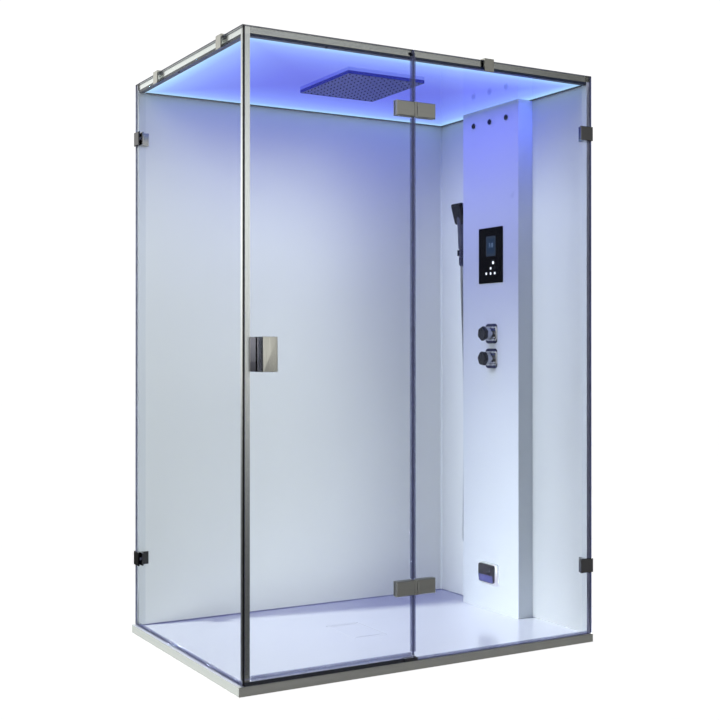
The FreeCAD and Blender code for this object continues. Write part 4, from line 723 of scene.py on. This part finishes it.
rings = [[(x, cy + a, cz + b) for a, b in cover_ring(w, h, r)] for x, w, h, r in ((654.3, 103, 75, 8), (653.4, 104, 76, 8.5), (646.0, 104, 76, 8.5))]
for w, h, r, inset in ((104, 76, 8.5, 1.8), (102.6, 74.6, 7.8, 0.6), (100, 72, 6.6, 0.0)):
    rings.append([(cover_x(b, inset), cy + a, cz + b) for a, b in cover_ring(w, h, r)])
last = loft(bm, rings, True, False)[-1]
# the front: two flat fields that meet in a crease. The lower field is painted violet and the upper field dark slate:
# painted reflections of the lit floor below and the dark room above
bm.faces.new(last[7:23])
f = bm.faces.new(last[22:] + last[:8])
f.material_index = 1
piece("steam_cover_shaped", bm, [M["slate"], M["violet_painted_reflection"]], "cabin", ["steam_outlet_cover"])

# ------------------------------------------------------------------ hand shower
bm = bmesh.new()
sections = [(1543, 691.5, 24.4, 24.4, 12.2), (1544, 691.5, 25.6, 25.6, 12.8), (1547.6, 691.5, 25.6, 25.6, 12.8), (1548.4, 691.5, 25.0, 25.0, 12.5),
            (1580, 691.5, 25.4, 25.4, 12.7), (1588, 691.1, 27.5, 25.8, 10.5), (1604, 690.6, 28.6, 26, 9.0), (1640, 690.0, 29.2, 26, 8.6),
            (1676, 688.0, 29.4, 26, 8.6), (1700, 685.2, 28.0, 26, 8.4), (1726, 681.8, 24.0, 26, 7.5), (1750, 677.0, 20.0, 25, 6.5), (1770, 671.0, 15.0, 22, 5)]
loft(bm, [[(xc + a, 281.5 + b, z) for a, b in rr(w, h, r, 6)] for z, xc, w, h, r in sections])
piece("handset_handle", bm, M["grip"], "hand_shower", ["handset"])

U, V, N = Vector((0, 1, 0)), Vector((-0.2687, 0, 0.9632)), Vector((-0.9632, 0, -0.2687))
FACE = Vector((666.5, 281.5, 1736.8))


def on_face(bm, spec, n=6, centre=(0, 0), mat=0, start=True, end=True):
    """Rounded rectangles (height off the spray face, width, length, corner) along its normal."""
    rings = []
    for t, w, h, r in spec:
        o = FACE + N * t + U * centre[0] + V * centre[1]
        rings.append([tuple(o + U * a + V * b) for a, b in rr(w, h, r, n)])
    return loft(bm, rings, start, end, mat)


bm = bmesh.new()
on_face(bm, [(-24.6, 62, 85, 7), (-23.6, 66, 89, 9), (-20.0, 69, 92, 10), (-16.0, 69.8, 92.8, 10), (-4.0, 69.8, 92.8, 10),
             (-1.6, 69.0, 92.0, 9.5), (-0.6, 67.4, 90.4, 9), (-0.4, 64.0, 87.0, 8)], 7)
piece("handset_head", bm, M["black_plastic"], "hand_shower")
bm = bmesh.new()
on_face(bm, [(-0.8, 60.0, 83.0, 7), (-0.1, 60.0, 83.0, 7), (0.0, 59.0, 82.0, 6.6)], 6)
for i in range(6):
    for j in range(8):
        o = FACE + U * (-24 + 48 * i / 5) + V * (-34 + 68 * j / 7)
        rings = []
        for t, r in ((-0.3, 1.7), (0.4, 1.45), (1.3, 0.9), (1.35, 0.4)):
            rings.append([tuple(o + N * t + (U * math.cos(a) + V * math.sin(a)) * r) for a in (2 * math.pi * k / 10 for k in range(10))])
        loft(bm, rings)
piece("handset_spray_face", bm, M["rubber"], "hand_shower")
bm = bmesh.new()
on_face(bm, [(-16.8, 70.0, 93.0, 10), (-16.2, 70.1, 93.1, 10), (-15.2, 70.1, 93.1, 10), (-14.6, 70.0, 93.0, 10)], 7, start=False, end=False)
piece("handset_trim", bm, M["smoke_chrome"], "hand_shower")

# ------------------------------------------------------------------ door handles
for name, y_glass, out in (("outer", -518.6, -1), ("inner", -510.4, 1)):
    bm = bmesh.new()
    cx, cz = -658.5, 1118.0

    def ring(t, w, h, r):
        return [(cx + a, y_glass + out * t, cz + b) for a, b in rr(w, h, r, 4)]
    loft(bm, [ring(0.0, 44, 108, 1.2), ring(1.6, 44, 108, 1.2), ring(1.6, 51.0, 115.0, 1.0), ring(2.2, 52.0, 116.0, 1.4), ring(45.2, 52.0, 116.0, 1.4),
              ring(45.6, 51.2, 115.2, 1.2), ring(45.6, 49.6, 113.6, 1.0)])
    piece("handle_%s_block" % name, bm, M["handle_dark"], "door", ["handle_" + name])
    bm = bmesh.new()
    loft(bm, [ring(45.4, 49.6, 113.6, 1.0), ring(46.2, 49.6, 113.6, 1.0), ring(46.2, 51.4, 115.4, 1.2), ring(46.9, 52.0, 116.0, 1.6), ring(48.9, 52.0, 116.0, 1.6),
              ring(49.7, 51.0, 115.0, 1.4), ring(49.9, 49.0, 113.0, 1.2)])
    piece("handle_%s_plate" % name, bm, M["satin_face"], "door")

# ------------------------------------------------------------------ hose
ROUTE = [(691.5, 281.5, 1507.0), (691.5, 281.5, 1450.0), (694.6, 281.9, 1350.0), (701.6, 282.8, 1200.0),
         (707.8, 284.2, 1030.0), (711.2, 286.2, 860.0), (712.0, 288.6, 690.0), (711.8, 290.4, 540.0),
         (711.2, 291.1, 440.0), (710.4, 291.0, 372.0), (709.6, 290.5, 328.0), (708.9, 289.85, 300.25),
         (708.2, 286.85, 289.05), (707.3, 281.05, 279.0), (706.3, 272.85, 270.8), (705.5, 262.8, 265.0),
         (705.0, 251.6, 262.0), (705.0, 240.0, 262.0)]
cu = bpy.data.curves.new("shower_hose_tube", "CURVE")
cu.dimensions = "3D"
sp = cu.splines.new("NURBS")
sp.points.add(len(ROUTE) - 1)
for p, (x, y, z) in zip(sp.points, ROUTE):
    p.co = (x / 1000, y / 1000, z / 1000, 1)
sp.order_u = 3
sp.use_endpoint_u = True
cu.resolution_u = 24
line_ob = bpy.data.objects.new("hose_line", cu)
line_me = bpy.data.meshes.new_from_object(line_ob)
line = [v.co.copy() for v in line_me.vertices]
if (line[0] - Vector((0.6915, 0.2815, 1.507))).length > (line[-1] - Vector((0.6915, 0.2815, 1.507))).length:
    line.reverse()
bpy.data.meshes.remove(line_me)


def walk(points, step):
    """Points a step apart along a line, with its directions."""
    out, dirs, carry = [], [], 0.0
    for a, b in zip(points, points[1:]):
        seg = (b - a).length
        if seg < 1e-9:
            continue
        u = (b - a) / seg
        t = carry
        while t < seg:
            out.append(a + u * t)
            dirs.append(u)
            t += step
        carry = t - seg
    out.append(points[-1].copy())
    dirs.append((points[-1] - points[-2]).normalized())
    return out, dirs


def wound_tube(name, points, radius, groove, pitch, mat, sides=20):
    """A metal-wound hose: round coils side by side along a line."""
    profile = [(0.0, radius - groove), (0.2, radius), (0.65, radius), (0.85, radius - groove)]
    pts, dirs = walk(points, pitch)
    bm = bmesh.new()
    up = Vector((0, 1, 0))
    rings = []
    n = len(pts)
    side = dirs[0].cross(up).normalized()
    for i in range(n - 1):
        d = dirs[i]
        side = (side - d * side.dot(d)).normalized()
        third = d.cross(side).normalized()
        span = (pts[i + 1] - pts[i])
        if span.length < pitch * 0.3:
            continue
        for f, r in profile:
            c = pts[i] + span * f
            rings.append([bm.verts.new(c + (side * math.cos(a) + third * math.sin(a)) * r)
                          for a in (2 * math.pi * k / sides for k in range(sides))])
    for a, b in zip(rings, rings[1:]):
        for k in range(sides):
            bm.faces.new((a[k], a[(k + 1) % sides], b[(k + 1) % sides], b[k]))
    bm.faces.new(list(reversed(rings[0])))
    bm.faces.new(rings[-1])
    return new_mesh(name, bm, mat)


hose = wound_tube("hose_tube", line, 0.0065, 0.0008, 0.0031, M["smoke_chrome"])
scene.collection.objects.link(hose)
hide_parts("shower_hose")
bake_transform(hose)

# ------------------------------------------------------------------ studio
def floor_material():
    """Pale seamless studio floor: a little of its own light keeps it as pale as the backdrop."""
    m = material("floor", (0.55, 0.56, 0.57), 0.7, vary=0.01, rvar=0.05, scale=1, bump=0.02, bump_scale=30)
    nt = m.node_tree
    b = nt.nodes["Principled BSDF"]
    b.inputs["Specular IOR Level"].default_value = 0.1
    em = nt.nodes.new("ShaderNodeEmission")
    em.inputs["Color"].default_value = (1, 1, 1, 1)
    em.inputs["Strength"].default_value = 0.96
    add = nt.nodes.new("ShaderNodeAddShader")
    nt.links.new(b.outputs[0], add.inputs[0])
    nt.links.new(em.outputs[0], add.inputs[1])
    dim = nt.nodes.new("ShaderNodeBsdfDiffuse")
    dim.inputs["Color"].default_value = (0.16, 0.16, 0.15, 1)
    tcf = nt.nodes.new("ShaderNodeTexCoord")
    ln = nt.nodes.new("ShaderNodeVectorMath")
    ln.operation = "LENGTH"
    nt.links.new(tcf.outputs["Object"], ln.inputs[0])
    dv = nt.nodes.new("ShaderNodeMath")
    dv.operation = "DIVIDE"
    dv.inputs[1].default_value = 24.0
    nt.links.new(ln.outputs["Value"], dv.inputs[0])
    far = ramp(nt, [(0.0, 0.09), (0.08, 0.10), (0.16, 0.14), (0.27, 0.26), (0.6, 0.45), (1.0, 0.55)], dv.outputs[0])
    em2 = nt.nodes.new("ShaderNodeEmission")
    nt.links.new(far.outputs["Color"], em2.inputs["Color"])
    addf = nt.nodes.new("ShaderNodeAddShader")
    nt.links.new(dim.outputs[0], addf.inputs[0])
    nt.links.new(em2.outputs[0], addf.inputs[1])
    lpf = nt.nodes.new("ShaderNodeLightPath")
    mixf = nt.nodes.new("ShaderNodeMixShader")
    nt.links.new(lpf.outputs["Is Camera Ray"], mixf.inputs[0])
    nt.links.new(addf.outputs[0], mixf.inputs[1])
    nt.links.new(add.outputs[0], mixf.inputs[2])
    nt.links.new(mixf.outputs[0], nt.nodes["Material Output"].inputs["Surface"])
    return m


bm = bmesh.new()
bmesh.ops.create_grid(bm, x_segments=8, y_segments=8, size=22)
floor = new_mesh("floor", bm, floor_material(), False)
floor.location = (0, 0, -0.0008)
scene.collection.objects.link(floor)

world = bpy.data.worlds.new("world")
scene.world = world
world.use_nodes = True
wn = world.node_tree
bg = wn.nodes["Background"]
bg2 = wn.nodes.new("ShaderNodeBackground")
bg2.inputs["Color"].default_value = (1, 1, 1, 1)
bg2.inputs["Strength"].default_value = 1.05
lp = wn.nodes.new("ShaderNodeLightPath")
mx = wn.nodes.new("ShaderNodeMixShader")
wn.links.new(lp.outputs["Is Camera Ray"], mx.inputs[0])
wn.links.new(bg.outputs[0], mx.inputs[1])
wn.links.new(bg2.outputs[0], mx.inputs[2])
wn.links.new(mx.outputs[0], wn.nodes["World Output"].inputs["Surface"])


def wmath(kind, a, bb=None, c=None):
    n = wn.nodes.new("ShaderNodeMath")
    n.operation = kind
    for i, v in enumerate((a, bb, c)):
        if v is None:
            continue
        if isinstance(v, (int, float)):
            n.inputs[i].default_value = v
        else:
            wn.links.new(v, n.inputs[i])
    return n.outputs[0]


# a studio room: bright cloth on the left, dark past the right front, a pale ceiling
wtc = wn.nodes.new("ShaderNodeTexCoord")
wsep = wn.nodes.new("ShaderNodeSeparateXYZ")
wn.links.new(wtc.outputs["Generated"], wsep.inputs[0])
# the turn about Z, 0 towards the front, rising towards the right: -0.5 is the left, 0.5 the right
turn = wmath("DIVIDE", wmath("ARCTAN2", wsep.outputs[0], wmath("MULTIPLY", wsep.outputs[1], -1.0)), math.pi)
turn = wmath("MULTIPLY_ADD", turn, 0.5, 0.5)
wall_light = ramp(wn, [(0.0, 1.0), (0.083, 1.25), (0.18, 1.2), (0.27, 0.80), (0.40, 0.42), (0.53, 0.60), (0.566, 1.08), (0.578, 0.80), (0.594, 0.62),
                       (0.604, 0.24), (0.614, 0.16), (0.66, 0.10), (0.75, 0.12), (0.86, 0.40), (1.0, 0.85)], turn)
height = ramp(wn, [(0.0, 0.2), (0.44, 0.5), (0.485, 0.75), (0.505, 0.95), (0.525, 1.15), (0.565, 1.40), (0.60, 0.95), (0.63, 0.70),
                   (0.72, 0.34), (1.0, 0.25)],
              wmath("MULTIPLY_ADD", wsep.outputs[2], 0.5, 0.5))
# the cloth is turned down for the soft light it throws, its image in the metal stays
level = wmath("MULTIPLY", wall_light.outputs["Color"], height.outputs["Color"])
wn.links.new(wmath("MULTIPLY", level, wmath("MULTIPLY_ADD", lp.outputs["Is Diffuse Ray"], -0.87, 1.0)), bg.inputs["Strength"])
bg.inputs["Color"].default_value = (1.0, 0.995, 0.965, 1)


def aim(o, loc, target):
    scene.collection.objects.link(o)
    o.location = loc
    d = Vector(target) - Vector(loc)
    o.rotation_mode = "QUATERNION"
    o.rotation_quaternion = d.to_track_quat("-Z", "Y")
    return o


def area(name, loc, target, size, size_y, power, color=(1, 1, 1)):
    l = bpy.data.lights.new(name, "AREA")
    l.shape = "RECTANGLE"
    l.size, l.size_y = size, size_y
    l.energy = power
    l.color = color
    return aim(bpy.data.objects.new(name, l), loc, target)


def lit_only(lamp, name, skipped):
    """Studio flags: the lamp is screened off from the named nodes."""
    c = bpy.data.collections.new(name)
    for ob in scene.objects:
        if ob.type in ("MESH", "CURVE") and ob.name not in skipped:
            c.objects.link(ob)
    lamp.light_linking.receiver_collection = c


# distant soft lamps: high window light from behind the left side, low light from the front and the left for the walls
def sun(name, energy, angle, source, color):
    l = bpy.data.lights.new(name, "SUN")
    l.energy = energy
    l.angle = math.radians(angle)
    l.color = color
    return aim(bpy.data.objects.new(name, l), source, (0, 0, 0))


def heading(turn_deg, rise_deg):
    """A far point seen from the middle: turn from the front towards the left, rise above level."""
    a, e = math.radians(turn_deg), math.radians(rise_deg)
    return (-5 * math.sin(a) * math.cos(e), -5 * math.cos(a) * math.cos(e), 5 * math.sin(e))


NODE = {n: o.name for n, o in nodes.items()}
EVERY = {o.name for o in scene.objects}
WALLS = {NODE[n] for n in ("back_wall_panel", "right_wall_panel", "wall_profiles")}
TRAY = {NODE[n] for n in ("shower_tray", "drain_cover")}
COLUMN = {NODE["column_shell"]}
cool, wall_tint = (0.96, 0.985, 1.0), (0.88, 0.95, 1.0)
BACK, RIGHT = {NODE["back_wall_panel"], NODE["wall_profiles"]}, {NODE["right_wall_panel"], NODE["wall_profiles"]}
lit_only(sun("window_light", 3.6, 5, (-3.8, 0.78, 3.2), cool), "window_lit", WALLS | COLUMN | TRAY | {"floor"})
lit_only(sun("window_light_tray", 6.7, 5, (-3.8, 0.78, 3.2), (1.0, 0.995, 0.80)), "window_tray_lit", EVERY - TRAY)
lit_only(sun("window_light_column", 3.5, 30, (-3.8, 0.78, 3.2), cool), "window_column_lit", EVERY - COLUMN)
lit_only(sun("front_light_right", 1.32, 30, heading(-25, 14), (0.89, 0.935, 0.86)), "front_right_lit", EVERY - BACK)
lit_only(sun("front_light_left", 0.78, 26, heading(30, 15), (0.89, 0.94, 0.93)), "front_left_lit", EVERY - BACK)
lit_only(sun("left_light", 2.0, 18, heading(90, 10), wall_tint), "left_lit", EVERY - RIGHT)
lit_only(sun("left_light_column", 0.72, 18, heading(90, 10), cool), "left_column_lit", EVERY - COLUMN)
lit_only(sun("high_front_light_column", 0.55, 35, heading(0, 60), cool), "front_column_lit", EVERY - COLUMN)
fill = sun("detail_fill", 1.1, 50, heading(35, 25), (0.90, 0.93, 1.0))
fill.visible_glossy = False
lit_only(fill, "detail_lit", WALLS | TRAY | COLUMN | {"floor", NODE["ceiling_panel"]})
# a lamp behind for the backs of the opaque walls
lit_only(sun("back_light", 1.9, 30, heading(-145, 22), (0.96, 0.98, 1.0)), "back_lit", {"floor"})
# the light tape's own glow under the ceiling edge
glow_all = area("tape_glow", (0.0, 0.0, 2.150), (0.0, 0.0, 0.0), 1.38, 0.95, 1.9, (0.12, 0.13, 1.0))
glow_col = area("tape_glow_column", (0.1, 0.0, 2.148), (0.1, 0.0, 0.0), 1.0, 0.95, 5.0, (0.20, 0.20, 1.0))
glow_side = area("tape_glow_side", (0.72, -0.33, 2.146), (0.72, -0.20, 1.9), 0.1, 0.35, 1.6, (0.10, 0.16, 1.0))
glow_tray = area("tape_glow_tray", (0.0, 0.0, 2.146), (0.0, 0.0, 0.0), 1.38, 0.95, 22.0, (0.34, 0.28, 1.0))
for g in (glow_all, glow_col, glow_side, glow_tray):
    g.visible_camera = False
    g.visible_glossy = False
lit_only(glow_col, "tape_lit", EVERY - COLUMN)
lit_only(glow_side, "tape_side_lit", EVERY - COLUMN)
lit_only(glow_tray, "tape_tray_lit", EVERY - TRAY)
